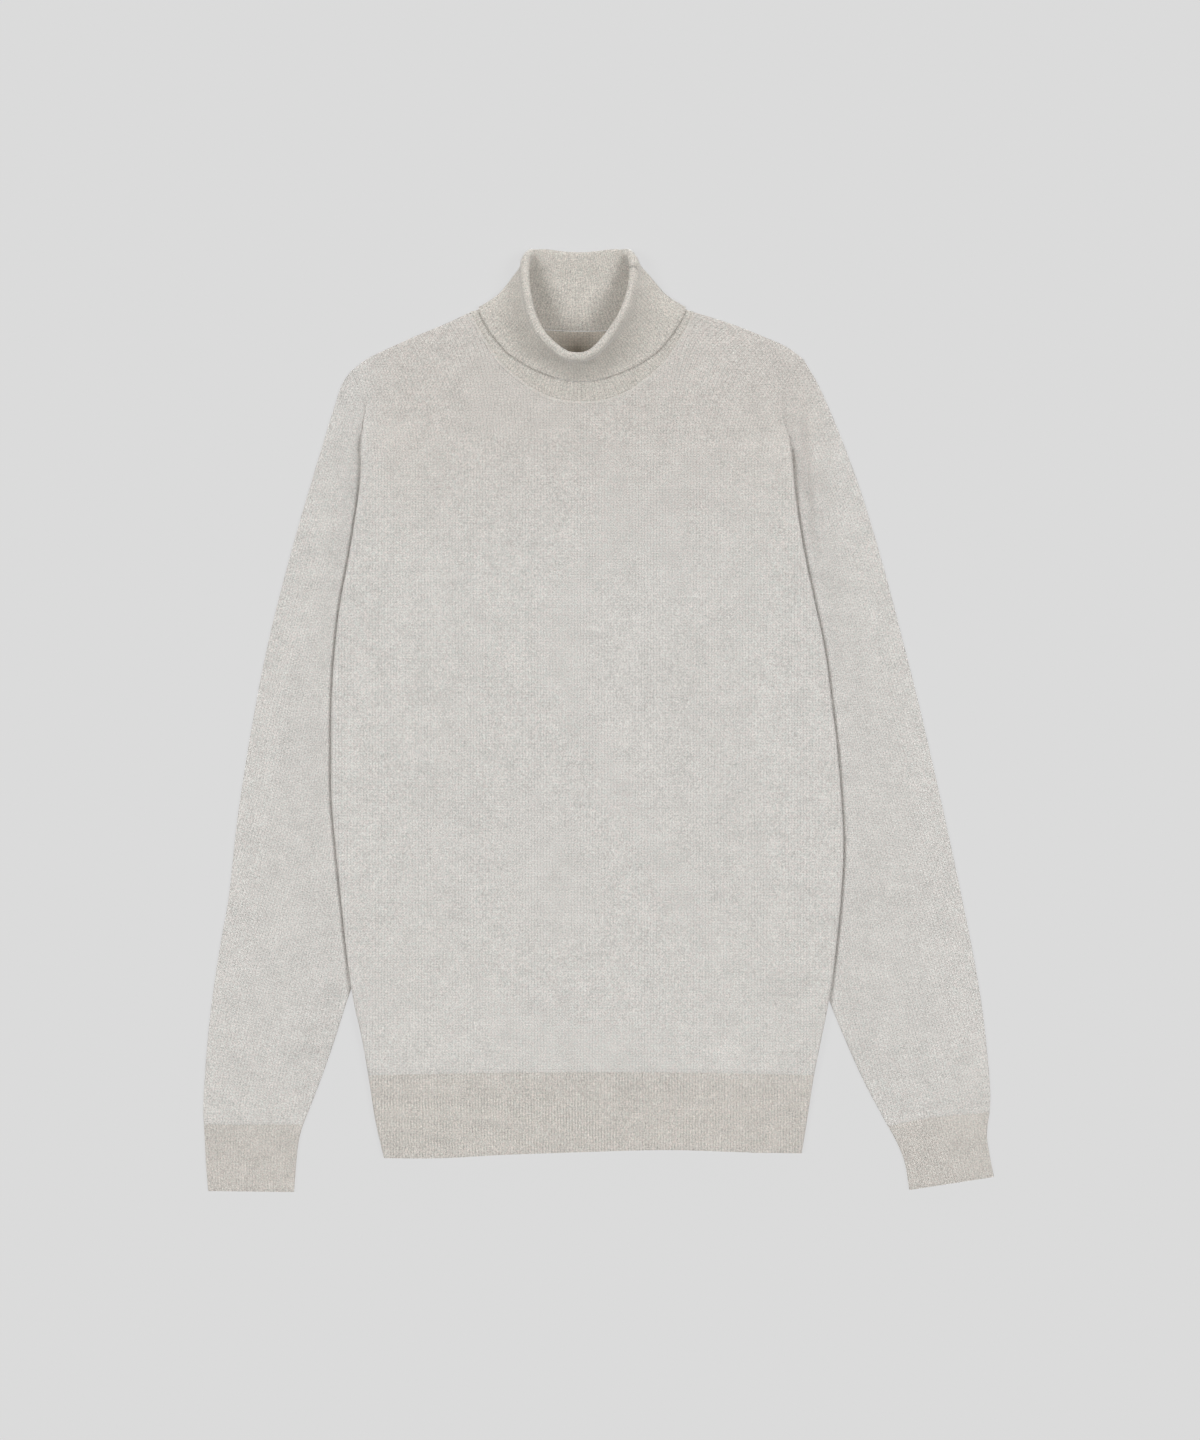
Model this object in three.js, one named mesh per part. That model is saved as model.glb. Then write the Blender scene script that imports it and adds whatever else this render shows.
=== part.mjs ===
// Turtleneck sweater in fine wool knit, laid flat on its back and seen from above.
//
// Millimetres. The front of the sweater faces up, along +Z, and its neck points along +Y. The
// underside rests on z = 0. Both sides of the body are folded under, and the sleeves lie beneath
// them. Left and right are the wearer's: the left sleeve is on the +X side.
import * as THREE from "three";

// Cloth
const WALL = 1.3; // thickness of the body's knit
const COLLAR_WALL = 1.5; // thickness of the collar's rib knit
const SEAM = 0.3; // space between two pieces that are sewn together
const NECK_SEAM = 0.65; // the same from the middle of the collar's wall at the neckline
const LIE = 0.7; // space between two hidden layers that lie on each other
const INSIDE = 0.6; // space between front and back
const AIR = 0.5; // how much further they stay apart below the underarm
const RIB_PITCH = 2.4; // from one raised rib to the next
const RIB_RISE = 0.35; // how far a rib stands above its wall

// Stack of layers, from the floor up
const SLEEVE_TOP = 2 * WALL + INSIDE;
const OVER_SLEEVE = SLEEVE_TOP + LIE;
const FOLD = (4 * WALL + LIE + INSIDE + AIR) / 2; // outside radius of the body's side fold
const SETTLE = 56; // the length over which a layer comes down beside a thicker stack
const RISE = 32; // the length over which the side fold rises below the armhole

// Outline
const HEM_SEAM_Y = -290.6;
const UNDERARM = { left: 233, right: 245 }; // where the armhole seam dives under the side fold

// Side folds of the body, the hidden inner edges of the sleeves, and how far the body is folded
// under. Each x is a distance from the centre, out to its own side.
const SIDES = [
  // y, fold on the left, fold on the right, sleeve edge left, sleeve edge right, folded under
  [260, 155.0, 192.0, 166, 200, 0],
  [233, 157.0, 194.5, 164, 199, 0],
  [197, 159.8, 195.1, 157, 190, 4],
  [180, 161.7, 197.2, 152.5, 184.5, 10],
  [150, 166.0, 201.8, 145, 175, 24],
  [120, 171.8, 207.0, 134, 164, 38],
  [98, 176.5, 211.1, 124.5, 158.8, 45],
  [57, 185.1, 216.0, 128, 158.5, 49],
  [16, 190.5, 218.5, 133, 160, 50],
  [-25, 195.4, 218.9, 138, 161.5, 50],
  [-66, 198.7, 218.5, 144, 164.5, 50],
  [-107, 200.3, 215.0, 152, 169, 49],
  [-148, 198.1, 210.7, 161, 175.5, 47],
  [-189, 194.0, 206.4, 175, 189, 45],
  [-230, 188.4, 200.6, 189, 205.6, 43],
  [-262, 182.1, 193.6, 202, 216.2, 42],
  [-293, 176.1, 188.4, 216, 227, 41],
  [-328, 170.8, 183.0, 234.5, 241, 40],
  [-360, 165.6, 175.7, 250, 248, 40],
];

// Armhole seam from the underarm up to the shoulder point
const ARMHOLE = {
  // x outwards, y
  left: [
    [156.9, 233],
    [152.8, 244.4],
    [150.3, 257],
    [151.6, 270],
    [157.5, 282],
    [168.3, 295.2],
  ],
  right: [
    [194.0, 245],
    [191.9, 254],
    [192.9, 263],
    [195.7, 271],
    [199.3, 279],
    [202.3, 286.2],
  ],
};

// Shoulder line from the shoulder point to the neck
const SHOULDER = {
  // x outwards, y
  left: [
    [168.3, 295.2],
    [155.1, 305.0],
    [133.3, 314.9],
    [108.2, 324.7],
  ],
  right: [
    [202.3, 286.2],
    [190.8, 295.2],
    [171.0, 305.0],
    [149.0, 314.9],
    [125.2, 324.7],
  ],
};

// Hem of the sweater: x, y
const HEM = [
  [-176, -358.4],
  [-142, -358.7],
  [-77, -356.1],
  [-11, -353.8],
  [54, -352.2],
  [120, -353.6],
  [167, -354.6],
];

// Sleeves. The outer edge, the inner edge below the armhole, and the cuff's seam and sides.
const SLEEVE = {
  // x outwards, y
  left: {
    outer: [
      [168.3, 295.2],
      [179.5, 275.5],
      [188.6, 255.8],
      [199.4, 229.6],
      [211.7, 196.8],
      [222.4, 164.0],
      [236.5, 114.8],
      [249.3, 65.6],
      [261.8, 16.4],
      [274.2, -36.9],
      [284.4, -82.0],
      [298.4, -147.6],
      [305.0, -180.4],
      [313.7, -229.6],
      [319.4, -278.8],
      [321.4, -308.0],
      [320.8, -321.4],
    ],
    hidden: [
      [158.2, 215],
      [157.2, 200],
      [152.5, 180],
      [145, 150],
      [135, 120],
      [124.4, 98],
    ],
    inner: [
      [124.4, 98],
      [138.0, -24.6],
      [161.0, -147.6],
      [189.3, -231.2],
      [202.1, -262.4],
      [217.0, -295.2],
      [237.1, -332.5],
    ],
    cuffSeam: [
      [320.8, -321.4],
      [271.2, -325.9],
      [237.1, -332.5],
    ],
    cuffOuter: [
      [320.8, -321.4],
      [318.6, -339.5],
      [320.4, -354.6],
      [324.1, -374.2],
    ],
    cuffInner: [
      [237.1, -332.5],
      [245.3, -347.7],
      [250.8, -362.4],
      [254.5, -385.0],
    ],
  },
  right: {
    outer: [
      [202.3, 286.2],
      [209.3, 275.5],
      [216.1, 255.8],
      [224.3, 229.6],
      [234.2, 196.8],
      [244.0, 164.0],
      [257.6, 114.8],
      [269.9, 65.6],
      [280.0, 16.4],
      [289.2, -36.9],
      [296.0, -82.0],
      [303.4, -147.6],
      [309.3, -180.4],
      [316.8, -229.6],
      [321.9, -278.8],
      [324.1, -319.8],
      [323.6, -331.3],
    ],
    hidden: [
      [194.6, 228],
      [193.6, 212],
      [187, 188],
      [178, 160],
      [168, 130],
      [158.8, 106.6],
    ],
    inner: [
      [158.8, 106.6],
      [161.2, -24.6],
      [175.2, -147.6],
      [203.4, -223.0],
      [216.2, -262.4],
      [227.8, -295.2],
      [242.0, -331.3],
    ],
    cuffSeam: [
      [323.6, -331.3],
      [283, -331.8],
      [242.0, -331.3],
    ],
    cuffOuter: [
      [323.6, -331.3],
      [322.9, -344.4],
      [321.9, -365.0],
      [320.2, -385.8],
    ],
    cuffInner: [
      [242.0, -331.3],
      [245.4, -343.6],
      [247.4, -360.0],
      [249.5, -386.6],
    ],
  },
};

// Collar. Half of the stand at four heights, from its base at the neckline to the rim. The rows
// run from the centre front round the side crease to the centre back. Each dx is measured from
// the collar's own centre line. The last column is how far down the turned down part reaches, as
// a share of the stand that it leaves bare.
const NECK_X = -13.5; // centre line at the neckline
const RIM_X = -16.2; // centre line at the rim
const COLLAR = [
  // base dx, y, z, third dx, y, z, two thirds dx, y, z, rim dx, y, z, left bare
  [0, 261.0, 2.55, 0, 278.3, 8.6, 0, 290.4, 25.5, 0, 296.4, 45.0, 0.33],
  [18, 262.4, 2.55, 13.2, 279.7, 8.6, 9.9, 291.8, 25.5, 8, 297.8, 45.0, 0.325],
  [36, 268.8, 2.55, 26.4, 286.0, 8.6, 19.8, 298.0, 25.2, 16.5, 304.0, 44.2, 0.28],
  [52, 280.0, 2.55, 39.0, 296.4, 8.6, 29.8, 308.0, 24.4, 25.3, 313.8, 42.0, 0.2],
  [67.5, 294.0, 2.55, 51, 310.3, 8.4, 39.6, 321.8, 22.0, 33.7, 328.2, 37.5, 0.14],
  [79, 311.0, 2.55, 60, 326.9, 8.0, 46.4, 337.8, 18.8, 38.8, 344.4, 31.0, 0.1],
  [87.5, 326.0, 2.55, 64.8, 338.2, 7.4, 50.2, 353.0, 15.2, 41.2, 360.0, 24.0, 0.09],
  [91.2, 334.2, 2.1, 66.4, 347.0, 5.6, 50.6, 363.6, 9.6, 41.0, 373.2, 16.0, 0.1],
  [87.5, 332.8, 0.8, 61.5, 344.6, 4.0, 47.0, 363.2, 6.4, 38.6, 378.4, 10.2, 0.14],
  [79, 330.0, 0.75, 56, 342.6, 3.4, 43.5, 363.6, 4.1, 35.6, 381.2, 6.6, 0.2],
  [67.5, 326.6, 0.75, 48.5, 341.5, 3.4, 38.5, 363.6, 3.9, 31.6, 382.4, 6.0, 0.25],
  [52, 323.0, 0.75, 38, 341.2, 3.4, 30.5, 363.2, 3.9, 25.3, 382.2, 5.9, 0.26],
  [36, 320.7, 0.75, 26.5, 341.0, 3.4, 21.5, 362.6, 3.9, 18, 381.2, 5.8, 0.26],
  [18, 319.4, 0.75, 13.3, 340.6, 3.4, 10.8, 361.9, 3.9, 9, 380.3, 5.7, 0.26],
  [0, 319.0, 0.75, 0, 340.4, 3.4, 0, 361.4, 3.9, 0, 380.0, 5.7, 0.26],
];
// On the left the stand bulges out a little, by row of the table: most at two thirds of its height.
const FULLER = { 5: 0.9, 6: 1.9, 7: 2.4, 8: 1.9, 9: 0.8 };
const CREASE = 7; // the row of the table on the side crease
const ROLL = 5.6; // width of the rolled rim, between the middles of its two walls
const DOUBLE = 2.1; // the same distance lower down, where the collar lies double
const FLARE = 0.7; // how much further its free edge stands off

// Numbers of steps
const RIM_STEPS = 4;
const FOLD_STEPS = 5;
const TUCK_STEPS = 3;
const BELOW_UNDERARM = [0, 8, 16, 24, 32, 50, 80, 120, 175, 240, 310, 385, 460];
const HEM_ROWS = 3;
const CUFF_ROWS = 3;
const SLEEVE_ROWS = 14;

// Helpers

const { clamp, lerp, smoothstep } = THREE.MathUtils;
const point = (x, y, z = 0) => new THREE.Vector3(x, y, z);

// A smooth function through one column of a table that is sorted by its first column.
function column(table, index) {
  const rows = [...table].sort((a, b) => a[0] - b[0]);
  const curve = new THREE.CubicInterpolant(
    rows.map((row) => row[0]),
    rows.map((row) => row[index]),
    1,
  );
  return (at) => curve.evaluate(clamp(at, rows[0][0], rows[rows.length - 1][0]))[0];
}

// A smooth line through points, as a function of the share of its length.
function curve(points) {
  const path = new THREE.CatmullRomCurve3(points.map(([x, y]) => point(x, y)), false, "centripetal");
  return (share) => path.getPointAt(clamp(share, 0, 1)).toArray().slice(0, 2);
}

// A line with straight sides, with its corners at even shares.
function corners(points) {
  return (share) => {
    const at = clamp(share, 0, 1) * (points.length - 1);
    const i = Math.min(Math.floor(at), points.length - 2);
    return [0, 1].map((k) => lerp(points[i][k], points[i + 1][k], at - i));
  };
}

// The same line moved sideways, to the left of its direction turned round.
function beside(points, distance) {
  return points.map(([x, y], i) => {
    const a = points[Math.max(i - 1, 0)];
    const b = points[Math.min(i + 1, points.length - 1)];
    const size = Math.hypot(b[0] - a[0], b[1] - a[1]);
    return [x - ((b[1] - a[1]) / size) * distance, y + ((b[0] - a[0]) / size) * distance];
  });
}

// Triangles between two polylines that run side by side.
function strip(a, b, out) {
  const share = (line) => {
    const sums = [0];
    line.slice(1).forEach((p, i) => sums.push(sums[i] + p.distanceTo(line[i])));
    return sums.map((sum) => sum / sums[sums.length - 1]);
  };
  const [sa, sb] = [share(a), share(b)];
  let i = 0;
  let j = 0;
  while (i < a.length - 1 || j < b.length - 1) {
    const stepA = j === b.length - 1 || (i < a.length - 1 && sa[i + 1] <= sb[j + 1]);
    if (stepA) {
      out.push(a[i], a[i + 1], b[j]);
      i += 1;
    } else {
      out.push(a[i], b[j + 1], b[j]);
      j += 1;
    }
  }
}

// A wall between two grids of points, face and back. Either way round can be closed on itself.
function wall(name, colour, face, back, { closedRows = false, closedColumns = false } = {}) {
  const close = (grid) => {
    const rows = closedColumns ? grid.map((row) => [...row, row[0]]) : [...grid];
    if (closedRows) rows.push(rows[0]);
    return rows;
  };
  const [f, b] = [close(face), close(back)];
  const out = [];
  const skin = (grid, turn) => {
    for (let r = 0; r < grid.length - 1; r += 1) {
      for (let c = 0; c < grid[r].length - 1; c += 1) {
        const quad = [grid[r][c], grid[r][c + 1], grid[r + 1][c + 1], grid[r + 1][c]];
        if (turn) quad.reverse();
        out.push(quad[0], quad[1], quad[2], quad[0], quad[2], quad[3]);
      }
    }
  };
  skin(f, false);
  skin(b, true);
  const last = f.length - 1;
  if (!closedRows) {
    strip(b[0], f[0], out);
    strip(f[last], b[b.length - 1], out);
  }
  if (!closedColumns) {
    strip(
      f.map((row) => row[0]),
      b.map((row) => row[0]),
      out,
    );
    strip(
      b.map((row) => row[row.length - 1]),
      f.map((row) => row[row.length - 1]),
      out,
    );
  }
  let volume = 0;
  for (let i = 0; i < out.length; i += 3) {
    volume += out[i].dot(point(0, 0, 0).crossVectors(out[i + 1], out[i + 2]));
  }
  const order = volume < 0 ? [0, 2, 1] : [0, 1, 2];
  const flat = [];
  for (let i = 0; i < out.length; i += 3) {
    order.forEach((k) => flat.push(...out[i + k].toArray()));
  }
  const geometry = new THREE.BufferGeometry();
  geometry.setAttribute("position", new THREE.Float32BufferAttribute(flat, 3));
  geometry.computeVertexNormals();
  const mesh = new THREE.Mesh(
    geometry,
    new THREE.MeshStandardMaterial({ color: colour, roughness: 0.95 }),
  );
  mesh.name = name;
  return mesh;
}

// How the layers lie

// x outwards of the fold, of the hidden sleeve edge, and the width folded under, by side and y.
const SIDE = {
  left: { sign: 1, fold: column(SIDES, 1), sleeve: column(SIDES, 3) },
  right: { sign: -1, fold: column(SIDES, 2), sleeve: column(SIDES, 4) },
};
const tuck = column(SIDES, 5);

// 0 at the underarm and above it, 1 where the side fold has risen in full.
const risen = (side, y) => smoothstep(UNDERARM[side] - y, 0, RISE);

// Height of the sleeve's layers below the body.
function overSleeve(x, y) {
  const side = x > 0 ? "left" : "right";
  const beyond = SIDE[side].sleeve(y) - 9 - Math.abs(x);
  return OVER_SLEEVE * (1 - smoothstep(beyond, 0, SETTLE)) * risen(side, y);
}

// 1 over the part that is folded under, 0 in the middle of the body.
function overTuck(x, y) {
  const side = x > 0 ? "left" : "right";
  const inward = SIDE[side].fold(y) - Math.abs(x);
  const width = Math.max(tuck(y), 4) + FOLD + 8;
  return (1 - smoothstep(inward, width, width + SETTLE)) * risen(side, y);
}

// Underside and thickness of the back, and the outside of the front above it.
const backUnder = (x, y) => overSleeve(x, y) + overTuck(x, y) * (WALL + LIE);
const backWall = (x, y) => WALL * (1 + overTuck(x, y));
const frontTop = (x, y) =>
  backUnder(x, y) + backWall(x, y) + INSIDE + AIR * risen(x > 0 ? "left" : "right", y) + WALL;

// Body panels

const frontNeck = COLLAR.slice(0, CREASE + 1).map((row) => [row[0], row[1]]);
const backNeck = COLLAR.slice(CREASE).map((row) => [row[0], row[1]]).reverse();

// The panel's top edge from the right shoulder point, across the neck, to the left one.
function topEdge(half) {
  const grown = half.map(([dx, y]) => {
    const out = dx < 1 ? [0, -NECK_SEAM] : [NECK_SEAM * 0.8, -NECK_SEAM * 0.6];
    return [dx + out[0], y + out[1]];
  });
  grown[grown.length - 1] = [half[half.length - 1][0] + 2 * NECK_SEAM, half[half.length - 1][1]];
  const neckLine = [
    ...[...grown].reverse().map(([dx, y]) => [NECK_X - dx, y]),
    ...grown.slice(1).map(([dx, y]) => [NECK_X + dx, y]),
  ];
  return [
    ...SHOULDER.right.map(([x, y]) => [-x, y]),
    ...neckLine,
    ...[...SHOULDER.left].reverse(),
  ];
}

// y of a polyline at an x.
function heightAt(line, x) {
  const i = clamp(
    line.findIndex((p) => p[0] >= x) - 1,
    0,
    line.length - 2,
  );
  const share = clamp((x - line[i][0]) / (line[i + 1][0] - line[i][0]), 0, 1);
  return lerp(line[i][1], line[i + 1][1], share);
}

// The two side edges of the body, row by row from the hem's seam to the shoulder point.
function sideEdge(side) {
  const { fold } = SIDE[side];
  const top = UNDERARM[side];
  const rows = BELOW_UNDERARM.map((down) => top - down)
    .filter((y) => y > HEM_SEAM_Y + 20)
    .reverse();
  const lower = [HEM_SEAM_Y + SEAM * 0.8, ...rows].map((y) => [fold(y), y]);
  lower[lower.length - 1] = [...ARMHOLE[side][0]];
  return [...lower, ...ARMHOLE[side].slice(1)];
}

// One side's fold in a row: distances outwards and heights of its outside and inside points,
// from the flat cloth to the end of the part that is folded under.
function foldProfile(turn, width) {
  const angle = Math.PI * turn;
  const outside = [];
  const inside = [];
  for (let k = 0; k <= FOLD_STEPS; k += 1) {
    const a = (angle * k) / FOLD_STEPS;
    const shift = (1 - turn) * 0.8 * k;
    outside.push([FOLD * Math.sin(a) + shift, FOLD * (Math.cos(a) - 1)]);
    inside.push([(FOLD - WALL) * Math.sin(a) + shift, (FOLD - WALL) * Math.cos(a) - FOLD]);
  }
  const [end, endIn] = [outside[FOLD_STEPS], inside[FOLD_STEPS]];
  for (let k = 1; k <= TUCK_STEPS; k += 1) {
    const far = (Math.max(width, 1.5) * k) / TUCK_STEPS;
    const step = [Math.cos(angle) * far, -Math.sin(angle) * far];
    outside.push([end[0] + step[0], end[1] + step[1]]);
    inside.push([endIn[0] + step[0], endIn[1] + step[1]]);
  }
  const reach = Math.max(...outside.map((p) => p[0]));
  return { outside, inside, reach };
}

// Points of the body between its side edges, row by row.
function panelPlan(edges, lowerEdge, upperEdge, insets, shares) {
  const rows = edges.left.length;
  const length = [0];
  for (let r = 1; r < rows; r += 1) {
    length.push(length[r - 1] + Math.hypot(
      edges.right[r][0] - edges.right[r - 1][0],
      edges.right[r][1] - edges.right[r - 1][1],
    ));
  }
  const plan = [];
  for (let r = 0; r < rows; r += 1) {
    const s = length[r] / length[rows - 1];
    const [xr, yr] = [-edges.right[r][0], edges.right[r][1]];
    const [xl, yl] = edges.left[r];
    const row = shares(r).map((share) => {
      const from = xr + insets(r)[0];
      const to = xl - insets(r)[1];
      const x = lerp(from, to, share);
      const level = (at) => lerp(lowerEdge(at), upperEdge(at), s);
      const off = lerp(yr - level(xr), yl - level(xl), (x - xr) / (xl - xr));
      return [x, level(x) + off];
    });
    plan.push(row);
  }
  return plan;
}

const edges = { left: sideEdge("left"), right: sideEdge("right") };
const ROWS = edges.left.length;
const hemSeam = (x) => HEM_SEAM_Y + 2.4 * (1 - (x / 190) ** 2);
const hemLine = (x) => heightAt(HEM, x);
const frontTopEdge = topEdge(frontNeck);
const backTopEdge = topEdge(backNeck);

// Shares across the body that meet the corners of the top edge in the last row.
function sharesFor(line, inset) {
  const [from, to] = [line[0][0] + inset, line[line.length - 1][0] - inset];
  const inner = line.slice(1, -1).map((p) => (p[0] - from) / (to - from));
  return [0, ...inner, 1];
}

// The side folds of a row, by side.
const foldsOf = (sides) => ({
  left: foldProfile(risen("left", sides.left[1]), tuck(sides.left[1])),
  right: foldProfile(risen("right", sides.right[1]), tuck(sides.right[1])),
});

// The front's wall over a plan: flat on top, round both side folds and in below them.
function foldedWall(plan, edges, rise) {
  const profiles = plan.map((_, r) => foldsOf({ left: edges.left[r], right: edges.right[r] }));
  const face = [];
  const back = [];
  plan.forEach((row, r) => {
    const top = row.map(([x, y], c) => point(x, y, frontTop(x, y) + rise(c)));
    const under = row.map(([x, y]) => point(x, y, frontTop(x, y) - WALL));
    const tail = (side, end, list) => {
      const { sign } = SIDE[side];
      const [ex, ey] = [sign * edges[side][r][0], edges[side][r][1]];
      const profile = profiles[r][side];
      const start = end[0];
      return profile[list].slice(1).map(([out, down]) => {
        const x = start[0] + sign * out;
        const share = clamp((x - start[0]) / (ex - start[0]), 0, 1);
        const y = lerp(start[1], ey, share);
        const lift = frontTop(x, y);
        return point(x, y, lift + down);
      });
    };
    const first = [row[0]];
    const final = [row[row.length - 1]];
    face.push([
      ...tail("right", first, "outside").reverse(),
      ...top,
      ...tail("left", final, "outside"),
    ]);
    back.push([
      ...tail("right", first, "inside").reverse(),
      ...under,
      ...tail("left", final, "inside"),
    ]);
  });
  return { face, back };
}

const level = () => 0;

function frontPanel() {
  const inset = (r) => {
    const { left, right } = foldsOf({ left: edges.left[r], right: edges.right[r] });
    return [right.reach, left.reach];
  };
  const shares = sharesFor(frontTopEdge, inset(ROWS - 1)[0]);
  const plan = panelPlan(
    edges,
    (x) => hemSeam(x) + SEAM * 0.8,
    (x) => heightAt(frontTopEdge, x),
    inset,
    () => shares,
  );
  return foldedWall(plan, edges, level);
}

// The back's wall over a plan, from its underside to its inside.
function backSlab(plan) {
  const face = plan.map((row) => row.map(([x, y]) => point(x, y, backUnder(x, y))));
  const back = plan.map((row) =>
    row.map(([x, y]) => point(x, y, backUnder(x, y) + backWall(x, y))),
  );
  return { face, back };
}

// How far the back's edge stays inside the side fold.
const backInset = (side, y) => (FOLD + LIE) * smoothstep(UNDERARM[side] - y, -1, 9);

function backPanel() {
  const inset = (r) => [
    backInset("right", edges.right[r][1]),
    backInset("left", edges.left[r][1]),
  ];
  const shares = sharesFor(backTopEdge, 0);
  const plan = panelPlan(
    edges,
    (x) => hemSeam(x) + SEAM * 0.8,
    (x) => heightAt(backTopEdge, x),
    inset,
    () => shares,
  );
  return backSlab(plan);
}

// Hem ribs

// The side edges of the hem, from its seam down to its edge.
function hemEdge(side) {
  const { sign, fold } = SIDE[side];
  const top = HEM_SEAM_Y - SEAM * 0.8;
  const bottom = hemLine(sign * fold(-357));
  return Array.from({ length: HEM_ROWS }, (_, r) => {
    const y = lerp(top, bottom, r / (HEM_ROWS - 1));
    return [fold(y), y];
  });
}

function hemPlan(inset, shares) {
  const sides = { left: hemEdge("left"), right: hemEdge("right") };
  const plan = panelPlan(sides, (x) => hemSeam(x) - SEAM * 0.8, hemLine, inset, () => shares);
  return { plan, sides };
}

// Each rib is two columns, a crest and a valley.
function hemRibFront() {
  const ribs = Math.round((2 * SIDE.left.fold(-330)) / RIB_PITCH);
  const even = (steps) => Array.from({ length: steps + 1 }, (_, k) => k / steps);
  const inset = () => [FOLD, FOLD];
  const fine = hemPlan(inset, even(2 * ribs));
  const coarse = hemPlan(inset, even(24));
  const crest = (c) => (c % 2 ? RIB_RISE : 0);
  return {
    face: foldedWall(fine.plan, fine.sides, crest).face,
    back: foldedWall(coarse.plan, coarse.sides, level).back,
  };
}

function hemRibBack() {
  const shares = Array.from({ length: 25 }, (_, k) => k / 24);
  const inset = (r) => ["right", "left"].map((side) => backInset(side, hemEdge(side)[r][1]));
  return backSlab(hemPlan(inset, shares).plan);
}

// Sleeves and cuffs

// A patch between four edges. The rows run from the armhole to the cuff, the columns from the
// outer edge to the inner one.
function patch(outer, inner, from, to) {
  return (across, down) => {
    const mix = (k) => {
      const sides = lerp(outer(down)[k], inner(down)[k], across);
      const ends = lerp(from(across)[k], to(across)[k], down);
      const top = lerp(from(0)[k], from(1)[k], across);
      const bottom = lerp(to(0)[k], to(1)[k], across);
      return sides + ends - lerp(top, bottom, down);
    };
    return [mix(0), mix(1)];
  };
}

// One row of a flat tube: a ring of points, outside or inside.
function ring(place, down, columns, radius, lift) {
  const half = SLEEVE_TOP / 2;
  const [a, b] = [place(0, down), place(1, down)];
  const margin = half / Math.hypot(a[0] - b[0], a[1] - b[1]);
  const row = (steps) =>
    Array.from({ length: steps + 1 }, (_, k) => place(lerp(margin, 1 - margin, k / steps), down));
  const bend = (end, next, start) => {
    const out = new THREE.Vector2(end[0] - next[0], end[1] - next[1]).normalize();
    return Array.from({ length: RIM_STEPS - 1 }, (_, k) => {
      const turn = start + (Math.PI * (k + 1)) / RIM_STEPS;
      const push = radius * Math.abs(Math.sin(turn));
      return point(end[0] + out.x * push, end[1] + out.y * push, half + radius * Math.cos(turn));
    });
  };
  const top = row(columns.top);
  const low = row(columns.low).reverse();
  return [
    ...top.map(([x, y], k) => point(x, y, half + radius + lift(x, y, k))),
    ...bend(low[0], low[1], 0),
    ...low.map(([x, y]) => point(x, y, half - radius)),
    ...bend(top[0], top[1], Math.PI),
  ];
}

function tubeWall(place, rows, columns, inner, lift, crest) {
  const half = SLEEVE_TOP / 2;
  const shares = Array.from({ length: rows + 1 }, (_, r) => r / rows);
  const outside = (x, y, k) => lift(x, y) + crest(k);
  return {
    face: shares.map((down) => ring(place, down, columns, half, outside)),
    back: shares.map((down) => ring(place, down, inner, half - WALL, lift)),
  };
}

// A copy of a line, moved along y.
const moved = (line, dy) => line.map(([x, y]) => [x, y + dy]);

// A little air in the part of the sleeve that shows.
function puff(side, outerEdge, signed, y) {
  const x = Math.abs(signed);
  const clear = smoothstep(x - Math.max(SIDE[side].fold(y), SIDE[side].sleeve(y)), 3, 30);
  const rim = smoothstep(outerEdge(y) - x, 0, 28);
  const ends = smoothstep(UNDERARM[side] - 10 - y, 0, 60) * smoothstep(y + 328, 0, 70);
  return 2.2 * clear * rim * ends;
}

function sleeve(side) {
  const { sign } = SIDE[side];
  const table = SLEEVE[side];
  const end = beside([...[...ARMHOLE[side]].reverse(), ...table.hidden], SEAM * 2);
  const seam = moved(table.cuffSeam, SEAM * 0.7);
  const place = patch(
    curve([end[0], ...table.outer.slice(1, -1), seam[0]]),
    curve([end[end.length - 1], ...table.inner.slice(1, -1), seam[seam.length - 1]]),
    corners(end),
    corners(seam),
  );
  const outerEdge = column(
    table.outer.map(([x, y]) => [y, x]),
    1,
  );
  const turned = (across, down) => {
    const [x, y] = place(across, down);
    return [sign * x, y];
  };
  const columns = { top: 11, low: 11 };
  const lift = (x, y) => puff(side, outerEdge, x, y);
  return tubeWall(turned, SLEEVE_ROWS, columns, columns, lift, level);
}

function cuff(side) {
  const { sign } = SIDE[side];
  const table = SLEEVE[side];
  const last = (line) => line[line.length - 1];
  const seam = moved(table.cuffSeam, -SEAM * 0.7);
  const place = patch(
    curve([seam[0], ...table.cuffOuter.slice(1)]),
    curve([last(seam), ...table.cuffInner.slice(1)]),
    corners(seam),
    corners([last(table.cuffOuter), last(table.cuffInner)]),
  );
  const turned = (across, down) => {
    const [x, y] = place(across, down);
    return [sign * x, y];
  };
  const ribs = Math.round(76 / RIB_PITCH);
  const crest = (k) => (k % 2 ? RIB_RISE : 0);
  return tubeWall(turned, CUFF_ROWS, { top: 2 * ribs, low: 8 }, { top: 8, low: 8 }, level, crest);
}

// Collar

// The stand's points at one height of the table, all the way round from the centre front.
function loop(height, fromRow, toRow) {
  const whole = [
    ...COLLAR.map((row) => [1, row]),
    ...COLLAR.slice(1, -1).reverse().map((row) => [-1, row]),
  ];
  const [i, centre] = [height * 3, lerp(NECK_X, RIM_X, height / 3)];
  const share = [0, 0.7, 1, 0.5][height];
  const fuller = (sign, row) => (sign > 0 ? share * (FULLER[COLLAR.indexOf(row)] ?? 0) : 0);
  return whole.map(([sign, row]) =>
    point(centre + fuller(sign, row) + sign * row[i], row[i + 1], row[i + 2]),
  );
}

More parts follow.
